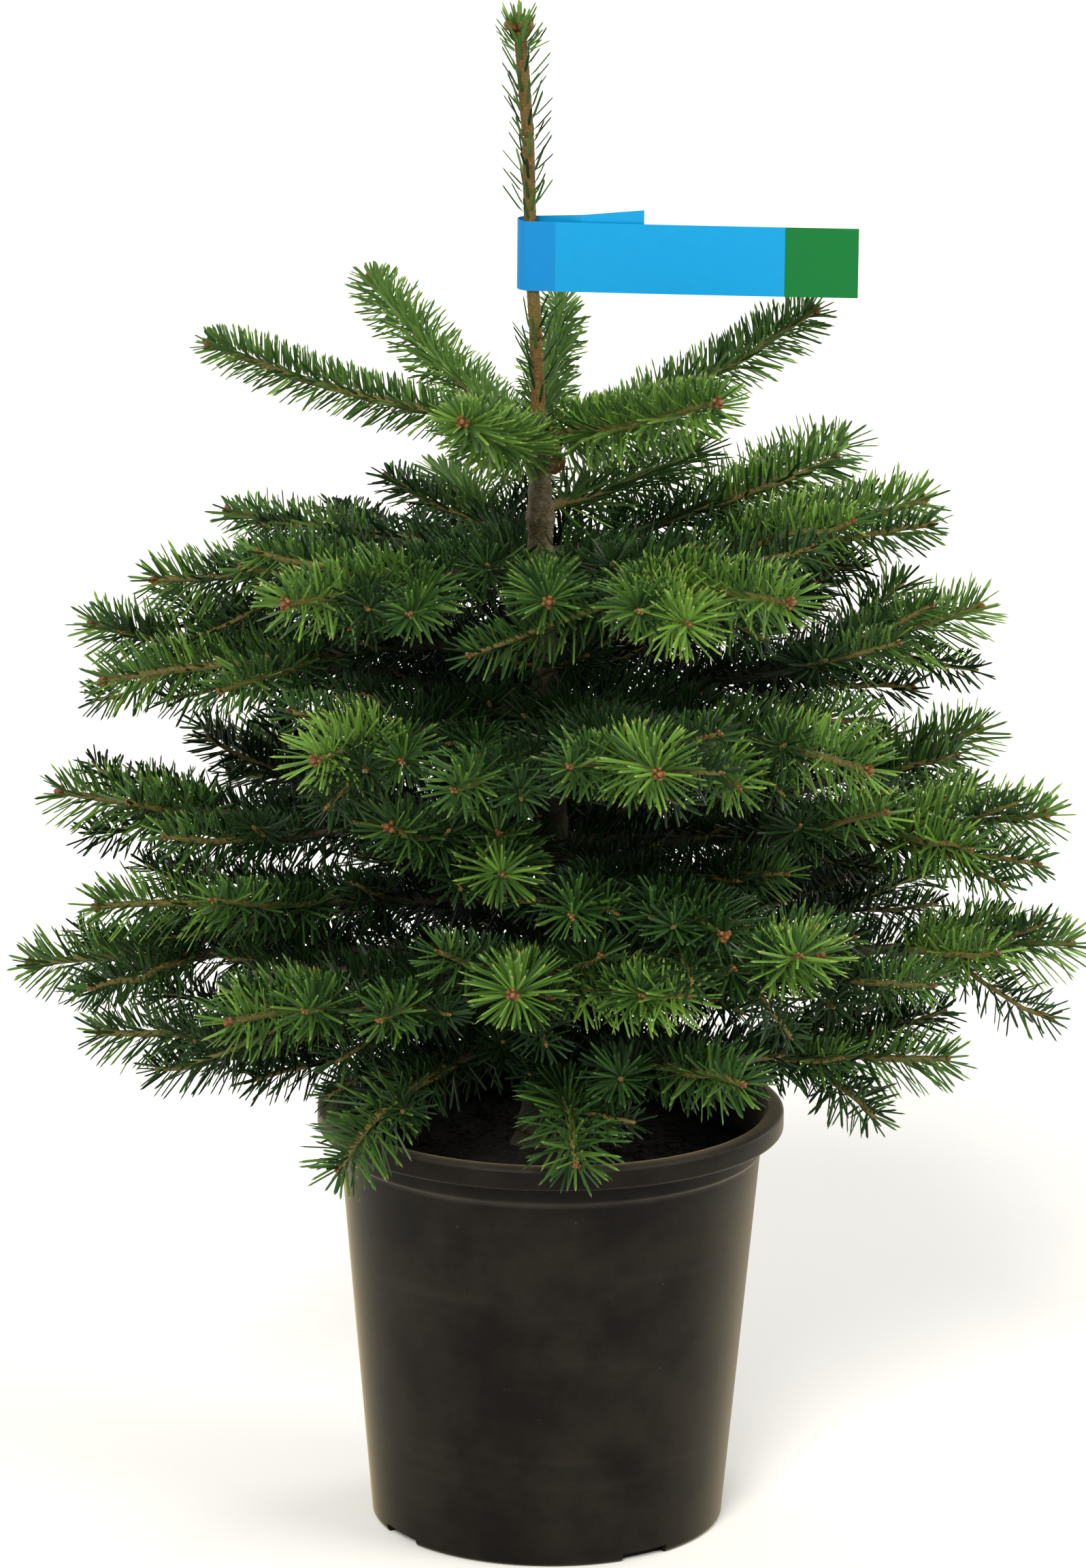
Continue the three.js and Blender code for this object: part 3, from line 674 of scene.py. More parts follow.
def bough_point(bough, share):
    bend = RISING_BEND if bough["rise"] > 0 else FALLING_BEND
    out = bough["reach"] * share
    foot = trunk_at(bough["height"])[0]
    return np.array([
        foot + out * math.cos(bough["azimuth"]), out * math.sin(bough["azimuth"]),
        bough["height"] + bough["stagger"] * (1 - share) + bough["rise"] * share ** bend])


def whole_bough(name, height, row, whorl, i):
    """A bough with its centre line, before any twig has grown on it."""
    azimuth, reach, rise, years = row
    bough = {"name": f"{name}_{i + 1}", "whorl": name, "height": height, "reach": reach,
             "rise": rise, "years": years, "azimuth": math.radians(azimuth),
             "stagger": -STAGGER if i % 2 else STAGGER,
             "random": random_from(97 * (whorl + 1) + i)}
    bough["twigs"], bough["lines"] = [], []
    path = np.array([bough_point(bough, k / BOUGH_STEPS) for k in range(BOUGH_STEPS + 1)])
    add_twig(bough, path, 0, years, YEAR_NODES[years])
    return bough


def add_twig(bough, path, order, years=1, nodes=(), **more):
    bough["twigs"].append({"path": path, "order": order, "years": years, "nodes": nodes, **more})
    bough["lines"].append(path)


def distance_to(paths, spot):
    """Shortest distance from a spot to any stretch of the paths."""
    starts = np.vstack([path[:-1] for path in paths])
    along = np.vstack([path[1:] for path in paths]) - starts
    share = np.clip(((spot - starts) * along).sum(1) / (along ** 2).sum(1), 0, 1)
    return np.linalg.norm(starts + along * share[:, None] - spot, axis=1).min()


def near_tag(x, y, z, margin, half):
    """True within a margin of the tag's outline and within half its depth."""
    return ((z > TAG_ROOM["low"] - margin) & (z < TAG_ROOM["high"] + margin) & (np.abs(y) < half)
            & (x > TAG_ROOM["left"] - margin) & (x < TAG_ROOM["right"] + margin))


def blocked(spots, margin):
    """True for each spot that would touch the trunk, the pot or the tag."""
    x, y, z = np.asarray(spots, float).T
    lean, radius = trunk_at(z)
    near_trunk = np.hypot(x - lean, y) < radius + margin
    near_pot = (z < POT_HEIGHT + margin) & (np.hypot(x, y) < LIP_RADIUS + margin)
    return near_trunk | near_pot | near_tag(x, y, z, margin, TAG_ROOM["half"] + margin)


def has_room(bough, path, margin, clearance):
    """True if a twig's outer part is clear of the solids and of all the other boughs."""
    others = [line for other in boughs if other is not bough for line in other["lines"]]
    return not blocked(path[2:], margin).any() and all(
        distance_to(others, spot) > clearance for spot in path[2:])


def grown(root, azimuth, turn, slope, droop, length):
    """Path of a twig that leaves at an angle and turns slowly forward as it grows."""
    path = [root]
    for i in range(SIDE_STEPS):
        heading = azimuth + turn * (1 - SIDE_TURN * i)
        step = np.array([math.cos(heading), math.sin(heading), slope + droop * i])
        path.append(path[i] + step / np.linalg.norm(step) * length / SIDE_STEPS)
    return np.array(path)


def side_way(side, draw):
    """Angle of a side twig from what it grows on, and the change in its slope."""
    return (side * math.radians(SIDE_ANGLE[0] + SIDE_ANGLE[1] * draw[1]),
            SIDE_SLOPE * (draw[2] - SIDE_SLOPE_CENTRE))


def side_twig(bough, share, side, draw, scale):
    length = bough["reach"] * (1 - share) * (SIDE_SHARE[0] + SIDE_SHARE[1] * draw[0]) * scale
    turn, change = side_way(side, draw)
    root = bough_point(bough, share)
    run = bough_point(bough, min(1, share + SIDE_LOOK_AHEAD)) - root
    slope = run[2] / math.hypot(run[0], run[1]) + change
    droop = bough["rise"] / bough["reach"] * FALLING_DROOP if bough["rise"] < 0 else TWIG_DROOP
    return grown(root, bough["azimuth"], turn, slope, droop, length)


def grow_sides(bough):
    """A pair of twigs at each yearly node, each as long as there is room for."""
    nodes = YEAR_NODES[bough["years"]]
    for i, share in enumerate(nodes):
        years = len(nodes) - i
        for side in (1, -1):
            draw = [next(bough["random"]) for _ in range(3)]
            for scale in SIDE_TRIES:
                path = side_twig(bough, share, side, draw, scale)
                if has_room(bough, path, TWIG_MARGIN, TWIG_CLEARANCE):
                    add_twig(bough, path, 1, years, [FINE_FORK["node"]] if years > 1 else [])
                    break


def grow_front(bough):
    for share, heading, slope, reach, green in FRONT_TWIGS.get(bough["name"], []):
        root = bough_point(bough, share)
        path = grown(root, math.radians(heading), 0, slope, TWIG_DROOP, reach)
        add_twig(bough, path, 1, green=green)


def add_fine(bough, root, azimuth, turn, slope, droop, reach):
    """A fine twig, unless it is too short or in the way."""
    path = grown(root, azimuth, turn, slope, droop, reach)
    if reach > FINE_LEAST and has_room(bough, path, FINE_MARGIN, FINE_CLEARANCE):
        add_twig(bough, path, 2)


def grow_fine(bough):
    """Forks on the side twigs that have two years' growth."""
    for twig in [twig for twig in bough["twigs"] if twig["order"] == 1 and twig["nodes"]]:
        path = twig["path"]
        run = path[-1] - path[0]
        azimuth, slope = math.atan2(run[1], run[0]), run[2] / math.hypot(run[0], run[1])
        root = path[2] * (1 - FINE_FORK["along"]) + path[3] * FINE_FORK["along"]
        for side in (1, -1):
            draw = [next(bough["random"]) for _ in range(3)]
            share = FINE_FORK["longest"] + FINE_FORK["varies"] * draw[0]
            reach = np.linalg.norm(run) * (1 - FINE_FORK["node"]) * share
            turn, change = side_way(side, draw)
            add_fine(bough, root, azimuth, turn, slope + change, TWIG_DROOP, reach)


def grow_single(bough, kind):
    """Single twigs of one kind between the yearly nodes of a bough."""
    habit = SINGLE_TWIGS[kind]
    for i, share in enumerate(habit["at"].get(bough["years"], [])):
        draw = [next(bough["random"]) for _ in range(habit["draws"])]
        side = 1 if (i + len(bough["name"])) % 2 else -1
        turn, reach, slope = (habit[part][0] + habit[part][1] * draw[k]
                              for k, part in enumerate(("turn", "reach", "slope")))
        add_fine(bough, bough_point(bough, share), bough["azimuth"], side * math.radians(turn),
                 slope, habit["droop"], reach)


def grow_trunk_twigs():
    """Small twigs round the trunk between its whorls, as one more bundle of twigs."""
    bundle = {"name": "trunk_twigs", "whorl": "inner", "reach": TRUNK_TWIGS["reach"],
              "azimuth": math.pi, "twigs": [], "lines": []}
    draws = random_from(TRUNK_TWIGS["seed"])
    for height, count in TRUNK_TWIGS["rows"]:
        first = 2 * math.pi * next(draws)
        lean, radius = trunk_at(height)
        for k in range(count):
            draw = [next(draws) for _ in range(3)]
            azimuth = first + 2 * math.pi * (k + 0.5 * draw[0]) / count
            out = TRUNK_TWIGS["inside"] * radius
            root = np.array([lean + out * math.cos(azimuth), out * math.sin(azimuth),
                             height + TRUNK_TWIGS["above"] * draw[1]])
            slope = TRUNK_TWIGS["slope"][0] + TRUNK_TWIGS["slope"][1] * draw[0]
            reach = TRUNK_TWIGS["length"][0] + TRUNK_TWIGS["length"][1] * draw[2]
            add_fine(bundle, root, azimuth, 0, slope, TRUNK_TWIGS["droop"], reach)
    return bundle


boughs = [whole_bough(name, height, row, w, i)
          for w, (name, height, rows) in enumerate(WHORLS) for i, row in enumerate(rows)]
for bough in boughs:
    grow_sides(bough)
for bough in boughs:
    grow_front(bough)
for bough in boughs:
    grow_fine(bough)
    grow_single(bough, "short")
for bough in boughs:
    if bough["whorl"] != "skirt":
        grow_single(bough, "hanging")
    if bough["name"] in LEFT_OUT:
        bough["twigs"].pop(LEFT_OUT[bough["name"]])
boughs.append(grow_trunk_twigs())


def reached_along(path):
    """Distance from the start of a path to each of its points."""
    return np.concatenate([[0], np.cumsum(np.linalg.norm(np.diff(path, axis=0), axis=1))])


def values_at(spots, reached, values):
    """Three-part values of a path's points, at distances between them."""
    return np.stack([np.interp(spots, reached, values[:, axis]) for axis in range(3)], 1)


def smooth_path(corners, pitch, seed):
    """Evenly spaced points on a smooth curve through the corners, with a slight waver."""
    rng = np.random.default_rng(seed)
    corners = np.array(corners, float)
    corners[1:-1] += rng.normal(0, WAVER, corners[1:-1].shape)
    wide = np.vstack([2 * corners[0] - corners[1], corners, 2 * corners[-1] - corners[-2]])
    t = np.linspace(0, 1, CURVE_STEPS, endpoint=False)[:, None]
    curve = []
    for a, b, c, d in zip(wide, wide[1:], wide[2:], wide[3:]):
        curve.append(0.5 * (2 * b + (c - a) * t + (2 * a - 5 * b + 4 * c - d) * t ** 2
                            + (3 * b - a - 3 * c + d) * t ** 3))
    curve = np.vstack([*curve, corners[-1:]])
    reached = reached_along(curve)
    even = np.linspace(0, reached[-1], max(4, round(reached[-1] / pitch) + 1))
    return values_at(even, reached, curve)


def joined(parts):
    """One list of points, faces and material slots from several."""
    counts = np.cumsum([0] + [len(points) for points, _, _ in parts])
    points = np.vstack([points for points, _, _ in parts])
    faces = np.vstack([faces + start for (_, faces, _), start in zip(parts, counts)])
    return points, faces, np.concatenate([slots for _, _, slots in parts])


# Bough and twig wood: 8 mm thick at the trunk and 3 mm at the tips. The last year's
# shoots are olive brown, the wood behind them is grey.
WOOD_PITCH = 4
WAVER = 0.7
CURVE_STEPS = 8
FOOT_RADIUS = {0: {1: 2.8, 2: 3.5, 3: 4.3}, 1: {1: 2.0, 2: 2.3}, 2: {1: 1.5}}
TIP_RADIUS = {0: 1.6, 1: 1.3, 2: 1.1}
WOOD_SIDES = {0: 9, 1: 7, 2: 5}
NODE_SWELL = {"out": 0.7, "half": 4}
FOOT_SWELL = {"out": 0.9, "reach": 9}
WOOD_LUMPS = 0.035
old_wood = bark("two-year twig bark", "#2E261C", "#54493A", "#454832", 1.2)
young_wood = bark("olive shoot bark", "#4A4520", "#86783E", "#5E642C", 0.9, 0.6)


def wood_of(bough, twig, seed):
    """One stem, thicker at its foot and at its nodes, in old wood up to its last node."""
    path = smooth_path(twig["path"], WOOD_PITCH, seed)
    share = np.linspace(0, 1, len(path))
    foot = FOOT_RADIUS[twig["order"]][twig["years"]]
    tip = TIP_RADIUS[twig["order"]]
    radii = tip + (foot - tip) * (1 - share) ** 0.9
    length = reached_along(path)[-1]
    for spot in twig["nodes"]:
        radii += NODE_SWELL["out"] * np.exp(-((share - spot) * length / NODE_SWELL["half"]) ** 2)
    if twig["order"] == 0:
        radii += FOOT_SWELL["out"] * np.exp(-share * length / FOOT_SWELL["reach"])
    rng = np.random.default_rng(seed)
    sides = WOOD_SIDES[twig["order"]]
    bumpy = radii[:, None] * (1 + rng.normal(0, WOOD_LUMPS, (len(path), sides)))
    points, faces = tube(path, bumpy, sides)
    last_node = twig["nodes"][-1] if twig["nodes"] else 0
    ring = np.minimum(faces.min(1) // sides, len(path) - 1)
    return points, faces, (share[ring] >= last_node).astype(int)


main_wood = [wood_of(bough, twig, 10 + n) for n, bough in enumerate(boughs)
             for twig in bough["twigs"] if twig["order"] == 0]
fine_wood = [wood_of(bough, twig, 100 + 20 * n + m) for n, bough in enumerate(boughs)
             for m, twig in enumerate(bough["twigs"]) if twig["order"] > 0]
for name, stems in (("bough_limbs", main_wood), ("side_twigs", fine_wood)):
    points, faces, slots = joined(stems)
    wood = piece_from(name, points, faces, [old_wood, young_wood], slots)
    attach(wood, "root")
    if name == "bough_limbs":
        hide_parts(*[node_name for node_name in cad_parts
                            if node_name.startswith("bough_")])

# Needles: flat, blunt leaves, short and close above each shoot, where they stand up like
# a comb, longest at its sides, and sparser and swept forward below it.
NEEDLE = {"wide": 1.62, "thick": 0.65, "above": 19, "beside": 29, "below": 25}
NEEDLES_PER_MM = {0: 2.3, 1: 2.0, 2: 1.6}
CLOSE_SET = {"top": 1.4}
NEEDLE_STATIONS = [0.24, 0.9]
NEEDLE_WIDTHS = [1, 0.82]
NEEDLE_PITCH = 2
LIFT = {"above": 74, "below": 64, "scatter": 5}
TIP_CLOSING = {"by": 28, "within": 10, "short": 0.45}
FRESH_GROWTH = {"short": 0.55, "within": 10}
GOLDEN = 0.381966
SPREAD = {"power": 1.4, "scatter": 0.08}
TWIST = 40
FACE_LEAN = {"ahead": 0.8, "up": 0.5}
BEND = {"ahead": 0.09, "up": 0.07, "scatter": 0.025}
LENGTH_SCATTER = (0.88, 1.06)
TWIG_SIZE = {0: (0.98, 1.08), 1: (0.82, 0.96), 2: (0.7, 0.86)}
VIGOUR = [1.12, 1.06, 1, 0.96, 0.94]
SHORT_NEEDLED = {"top_1": 0.64, "top_2": 0.62, "top_3": 0.52, "top_4": 0.76, "top_5": 0.85,
                 "top_6": 0.76, "upper_1": 0.74, "upper_2": 0.85, "upper_6": 0.86}
NEAR_SIDE = -0.5
SHORT_ABOVE = 0.78
ROOT_OUT = 0.8
BARE_FOOT = {0: 14, 1: 3, 2: 3}
LEFT_ON_OLD_WOOD = 0.8
NEEDLE_ROOM = {"bark": 1, "lip": 1, "mouth": 3, "soil": 2, "tag": 2, "tag half": 8}
# Upper face, underside and tip of the needles, for each green that is dealt out. The greens run
# from lit to shaded: the darker ones are painted shade and the lighter ones painted light.
GREENS = {
    "bright": ("#688F38", "#567638", "#8EA052"),
    "half_lit": ("#4D6F28", "#456532", "#6E8842"),
    "leaf": ("#345422", "#304E26", "#4A6832"),
    "deep": ("#213B19", "#20391D", "#2C4621"),
    "old": ("#182C12", "#182B16", "#203518"),
}
# Painted light and shade: side and fine twigs, the skirt and some boughs are dealt darker greens,
# down to old, which is painted deep shade. The sunny side and some front boughs get lighter ones.
SHOOT_GREENS = {0: [0, 1, 1], 1: [2, 2, 3], 2: [3, 4, 4], "inner": [3, 3, 4]}
WHORL_SHADE = {"skirt": 1}
UNSHADED = ["top", "single_high", "upper"]
SUNNY_SIDE = 0.75
SHADE_STEPS = [0.48, 0.7]
BOUGH_GREENS = {
    "top_1": 1, "top_2": 0, "top_3": 0, "top_4": 1, "top_5": 1, "top_6": 1, "upper_5": 1,
    "upper_6": 2, "upper_7": 1, "upper_8": 1, "middle_5": 1, "middle_6": 1, "middle_7": 0,
    "lower_6": 3, "lower_7": 2, "broad_4": 1, "broad_5": 1, "broad_6": 1, "skirt_5": 2,
    "skirt_6": 2, "skirt_7": 2}
NEEDLE_STEPS = [-1, 0, 0, 1]

def toned(code, share):
    """Linear colour of a hex code with its channels darker or lighter by a share."""
    return [channel * share for channel in linear(code)[:3]] + [1]


# Needle skin: waxy leaf with a satin gloss, darker above and bluish below, where two
# bands of pores run. The tips are paler.
def needle_skin(name, code, roughness):
    material, tree, shader = finish_named(name, roughness, 0.16)
    cast = speckle(tree, place_in(tree), 24, 2)
    dress(tree, shader, {"Base Color": mixed(tree, cast, toned(code, 0.78), toned(code, 1.18))})
    return material


def needle_mesh(roots, ahead, normals, bends, lengths, greens):
    """Points, faces and slots of many needles: three-sided blades, closed to a point."""
    side = np.cross(ahead, normals)
    count = len(roots)
    points = np.zeros((count, 8, 3))
    points[:, 0] = roots
    for k, (share, wide) in enumerate(zip(NEEDLE_STATIONS, NEEDLE_WIDTHS)):
        centre = roots + (ahead * share + bends * share ** 2) * lengths[:, None]
        half = side * (NEEDLE["wide"] * wide / 2)
        points[:, 1 + 3 * k] = centre - half
        points[:, 2 + 3 * k] = centre + half
        points[:, 3 + 3 * k] = centre + normals * NEEDLE["thick"] * wide
    points[:, 7] = roots + (ahead + bends) * lengths[:, None]
    faces = [(0, 1, 2), (0, 2, 3), (0, 3, 1), (1, 4, 5), (1, 5, 2), (2, 5, 6), (2, 6, 3),
             (3, 6, 4), (3, 4, 1), (4, 7, 5), (5, 7, 6), (6, 7, 4)]
    kinds = [1, 0, 0, 1, 1, 0, 0, 0, 0, 1, 2, 2]
    faces = (np.array(faces)[None] + 8 * np.arange(count)[:, None, None]).reshape(-1, 3)
    slots = (3 * greens[:, None] + np.array(kinds)[None]).ravel()
    return points.reshape(-1, 3), faces, slots

def in_the_way(spots):
    """True for each needle tip that would go into the trunk, the pot, the soil or the tag."""
    x, y, z = spots.T
    lean, radius = trunk_at(z)
    out = np.hypot(x, y)
    in_wall = ((z < POT_HEIGHT + NEEDLE_ROOM["lip"]) & (out > mouth - NEEDLE_ROOM["mouth"])
               & (out < LIP_RADIUS + NEEDLE_ROOM["lip"]))
    in_soil = (z < SOIL_LEVEL + NEEDLE_ROOM["soil"]) & (out <= mouth)
    in_bark = np.hypot(x - lean, y) < radius + NEEDLE_ROOM["bark"]
    return in_bark | in_wall | in_soil | near_tag(
        x, y, z, NEEDLE_ROOM["tag"], NEEDLE_ROOM["tag half"])


def dealt_green(bough, twig, rng):
    """The green of a twig's last shoot, with painted light and shade: darker on side and fine
    twigs and on the skirt, lighter on the sunny side.
    """
    green = rng.choice(SHOOT_GREENS[twig["order"]]) + WHORL_SHADE.get(bough["whorl"], 0)
    sunny = math.cos(bough["azimuth"]) > SUNNY_SIDE
    green = min(len(GREENS) - 1, max(0, green - sunny))
    if twig["order"] == 0:
        green = BOUGH_GREENS.get(bough["name"], green)
    return twig.get("green", green)


def needles_on(bough, twig, seed):
    """Needles of one twig, dealt round it by the golden angle and drawn up above it."""
    rng = np.random.default_rng(seed)
    path = smooth_path(twig["path"], NEEDLE_PITCH, seed)
    reached = reached_along(path)
    length = reached[-1]
    count = int(length * NEEDLES_PER_MM[twig["order"]] * CLOSE_SET.get(bough["whorl"], 1))
    spot = (np.arange(count) + rng.uniform(0, 1, count)) * length / count
    centre, ahead, right, up = (
        values_at(spot, reached, values) for values in (path, *frames_along(path)))
    turn = 2 * np.mod(np.arange(count) * GOLDEN + rng.uniform(), 1) - 1
    turn = (math.pi * np.sign(turn) * np.abs(turn) ** SPREAD["power"]
            + rng.normal(0, SPREAD["scatter"], count))
    over = (1 + np.cos(turn)) / 2
    starts = np.array([0] + [share * length for share in twig["nodes"]])
    year = np.searchsorted(starts, spot, side="right") - 1
    since = spot - starts[year]
    until = np.append(starts[1:], length)[year] - spot
    outer = year == len(starts) - 1
    at_end = np.exp(-until / TIP_CLOSING["within"]) * outer
    lift = np.radians(LIFT["below"] + (LIFT["above"] - LIFT["below"]) * over
                      + rng.normal(0, LIFT["scatter"], count) - TIP_CLOSING["by"] * at_end)
    out = up * np.cos(turn)[:, None] + right * np.sin(turn)[:, None]
    needle = unit(ahead * np.cos(lift)[:, None] + out * np.sin(lift)[:, None])
    young = FRESH_GROWTH["short"] + (1 - FRESH_GROWTH["short"]) * np.minimum(
        1, since / FRESH_GROWTH["within"])
    on_near_side = bough["whorl"] == "top" or math.sin(bough["azimuth"]) < NEAR_SIDE
    above = NEEDLE["above"] * (1 if on_near_side else SHORT_ABOVE)
    lengths = NEEDLE["below"] + (above - NEEDLE["below"]) * over
    lengths += (NEEDLE["beside"] - lengths) * np.sin(turn) ** 2
    lengths *= (young * rng.uniform(*LENGTH_SCATTER, count)
                * (1 - TIP_CLOSING["short"] * at_end))
    lengths *= rng.uniform(*TWIG_SIZE[twig["order"]]) * SHORT_NEEDLED.get(bough["name"], 1)
    normals = ahead * FACE_LEAN["ahead"] + up * FACE_LEAN["up"]
    normals = unit(normals - needle * (normals * needle).sum(1)[:, None])
    twist = np.radians(rng.normal(0, TWIST, count))[:, None]
    normals = normals * np.cos(twist) + np.cross(needle, normals) * np.sin(twist)
    bends = (ahead * BEND["ahead"] + up * BEND["up"]
             + rng.normal(0, BEND["scatter"], (count, 3)))
    green = dealt_green(bough, twig, rng)
    lengths *= VIGOUR[green]
    share = np.hypot(centre[:, 0] - trunk_at(centre[:, 2])[0], centre[:, 1]) / bough["reach"]
    # Needles behind the last shoot are older and darker. They are dealt darker greens, partly for
    # age and partly as painted shade.
    greens = np.where(outer, green, rng.choice(SHOOT_GREENS["inner"]))
    greens += rng.choice(NEEDLE_STEPS, count)
    # Painted shade: needles closer to the trunk than set shares of the bough's reach get darker
    # greens.
    if "green" not in twig and bough["whorl"] not in UNSHADED:
        greens += (share[:, None] < SHADE_STEPS).sum(1)
    greens = np.clip(greens, 0, len(GREENS) - 1)
    left_on = rng.uniform(0, 1, count) < np.where(outer, 1, LEFT_ON_OLD_WOOD)
    past_foot = np.linalg.norm(centre - centre[0], axis=1) > BARE_FOOT[twig["order"]]
    roots = centre + out * ROOT_OUT
    tips = roots + (needle + bends) * lengths[:, None]
    middles = roots + needle * lengths[:, None] / 2
    kept = left_on & past_foot & ~in_the_way(tips) & ~in_the_way(middles)
    return [part[kept] for part in (roots, needle, normals, bends, lengths, greens)]


skins = [needle_skin(f"{green} needle {part}", code, roughness)
         for green, codes in GREENS.items()
         for part, code, roughness in zip(("face", "underside", "tip"), codes, (0.4, 0.5, 0.45))]
TIERS = {
    "top_foliage": ["top", "single_high"], "upper_foliage": ["upper", "single_mid"],
    "middle_foliage": ["middle"], "lower_foliage": ["lower", "single_low"],
    "broad_foliage": ["broad"], "skirt_foliage": ["skirt"], "inner_foliage": ["inner"]}
for tier, whorls in TIERS.items():
    sprays = [needles_on(bough, twig, 1000 + 20 * n + m) for n, bough in enumerate(boughs)
              if bough["whorl"] in whorls for m, twig in enumerate(bough["twigs"])]
    points, faces, slots = needle_mesh(*(np.concatenate(part) for part in zip(*sprays)))
    foliage = piece_from(tier, points, faces, skins, slots, smooth=False)
    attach(foliage, "root")
    if tier != "inner_foliage":
        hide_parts(*[f"foliage_{bough['name']}" for bough in boughs
                               if bough["whorl"] in whorls])

# Buds: resinous brown cones of scales, one at the end of each shoot with up to five
# round it, and single ones on the leader and the trunk.
BUD = {"long": 5.4, "wide": 3.8, "spread": 42, "side": 0.8, "past": 2.5, "out": 2.2,
       "side past": 1.2}
BUD_SETS = {0: (5, 0.95), 1: (2, 0.62), 2: (0, 0.4)}
SMALL_BUDS = {"skirt": 0.6, "inner": 0.6}
BUD_SEED = 77
LEADER_BUDS = {"below": 5, "ahead": (-0.08, 0, 1), "count": 6, "size": 1.5}
# Single buds: height of the stem they are on, then their place to the right of it,
# behind it and above that height, their direction and their size.
SINGLE_BUDS = [
    (707, 0, -3.6, 0, (0.1, -0.5, 0.85), 0.9),
    (780, -5, -3, -4, (-0.7, -0.3, 0.7), 1.2),
    (780, 5, -3, -4, (0.7, -0.3, 0.7), 1.2),
    (552, 8.375, -10.725, 4.6, (0.5, -0.3, 0.8), 2.3)]


def bud_tree():
    """Node tree that sets a bud on each point, along its direction and to its size."""
    tree, given = tree_with("resting buds", {
        "Points": "Geometry", "Length": "Float", "Width": "Float", "Finish": "Material"})
    shape = node(tree, "GeometryNodeMeshUVSphere", {"Segments": 7, "Rings": 4, "Radius": 0.5})
    size = node(tree, "ShaderNodeCombineXYZ", {
        "X": given["Width"], "Y": given["Width"], "Z": given["Length"]})
    bud = node(tree, "GeometryNodeTransform", {
        "Geometry": shape.outputs["Mesh"], "Scale": size.outputs["Vector"]})
    way = node(tree, "GeometryNodeInputNamedAttribute", {"Name": "way"}, data_type="FLOAT_VECTOR")
    scale = node(tree, "GeometryNodeInputNamedAttribute", {"Name": "scale"}, data_type="FLOAT")
    turn = node(tree, "FunctionNodeAlignRotationToVector", {
        "Vector": way.outputs["Attribute"]}, axis="Z")
    spots = node(tree, "GeometryNodeMeshToPoints", {"Mesh": given["Points"]})
    lay(tree, spots.outputs["Points"], bud.outputs["Geometry"], turn.outputs["Rotation"],
        scale.outputs["Attribute"], given["Finish"])
    return tree


def bud_cluster(end, ahead, rng, count, scale=1.0):
    """Places, directions and sizes of the end bud and the ones round it."""
    right = unit(np.cross(ahead, (0.1, 0.2, 1))[None])[0]
    up = np.cross(right, ahead)
    spread = math.radians(BUD["spread"])
    rows = [(end + ahead * BUD["past"] * scale, ahead, scale)]
    for k in range(count):
        angle = 2 * math.pi * k / count + rng.uniform(0, 1)
        out = right * math.cos(angle) + up * math.sin(angle)
        rows.append((end + out * BUD["out"] * scale + ahead * BUD["side past"],
                     ahead * math.cos(spread) + out * math.sin(spread), scale * BUD["side"]))
    return rows


def all_buds():
    rng = np.random.default_rng(BUD_SEED)
    rows = []
    for bough in boughs:
        for twig in bough["twigs"]:
            path = twig["path"]
            ahead = unit((path[-1] - path[-2])[None])[0]
            side_buds, size = BUD_SETS[twig["order"]]
            size *= SMALL_BUDS.get(bough["whorl"], 1)
            rows += bud_cluster(path[-1], ahead, rng, side_buds, size)
    top = np.array([LEADER_LINE[-1][1], 0, LEADER_LINE[-1][0] - LEADER_BUDS["below"]])
    rows += bud_cluster(
        top, np.array(LEADER_BUDS["ahead"]), rng, LEADER_BUDS["count"], LEADER_BUDS["size"])
    for height, right, behind, above, ahead, size in SINGLE_BUDS:
        spot = np.array([trunk_at(height)[0] + right, behind, height + above])
        rows.append((spot, np.array(ahead), size))
    return rows


# Bud scales: dry, red-brown and brittle, glazed with clear resin that gives a sharp gloss.
bud_scales, tree, shader = finish_named("resin-glazed bud scales", 0.4, 0.3)
scales = cells(tree, place_in(tree), 1.3)
dress(tree, shader, {
    "Base Color": mixed(tree, scales, "#925F34", "#4A341E"),
    "Normal": bumps(tree, scales, 0.5, 0.3)})

rows = all_buds()
buds = piece_from("resting_buds", [spot for spot, _, _ in rows], [], [bud_scales])
way = buds.data.attributes.new("way", "FLOAT_VECTOR", "POINT")
way.data.foreach_set("vector", np.array([row[1] for row in rows], np.float32).ravel())
scale = buds.data.attributes.new("scale", "FLOAT", "POINT")
scale.data.foreach_set("value", np.array([row[2] for row in rows], np.float32))
with_tree(buds, bud_tree(), {
    "Length": BUD["long"] * MM, "Width": BUD["wide"] * MM, "Finish": bud_scales})
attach(buds, "root")

# Leader needles: short, thinly set round the bare leader and held close to it, with a
# dense tuft of upright ones round its end buds.
LEADER_NEEDLES = {"rows": 142, "long": 16, "lift": 48, "from": 584, "scatter": 9,
                  "lengths": (0.7, 1.15), "sunk": 0.3, "middle": 8, "seed": 31}
LEADER_TUFT = {"rows": 88, "long": 13.5, "lift": 67, "closing": 3.3, "from": 763, "below": 3}
LEADER_TURN = {"angle": 2.39996, "scatter": 0.2}
LEADER_BEND = {"up": 0.2, "in": 0.14}
TOP_LIMIT = 789
TAG_FRONT = 24


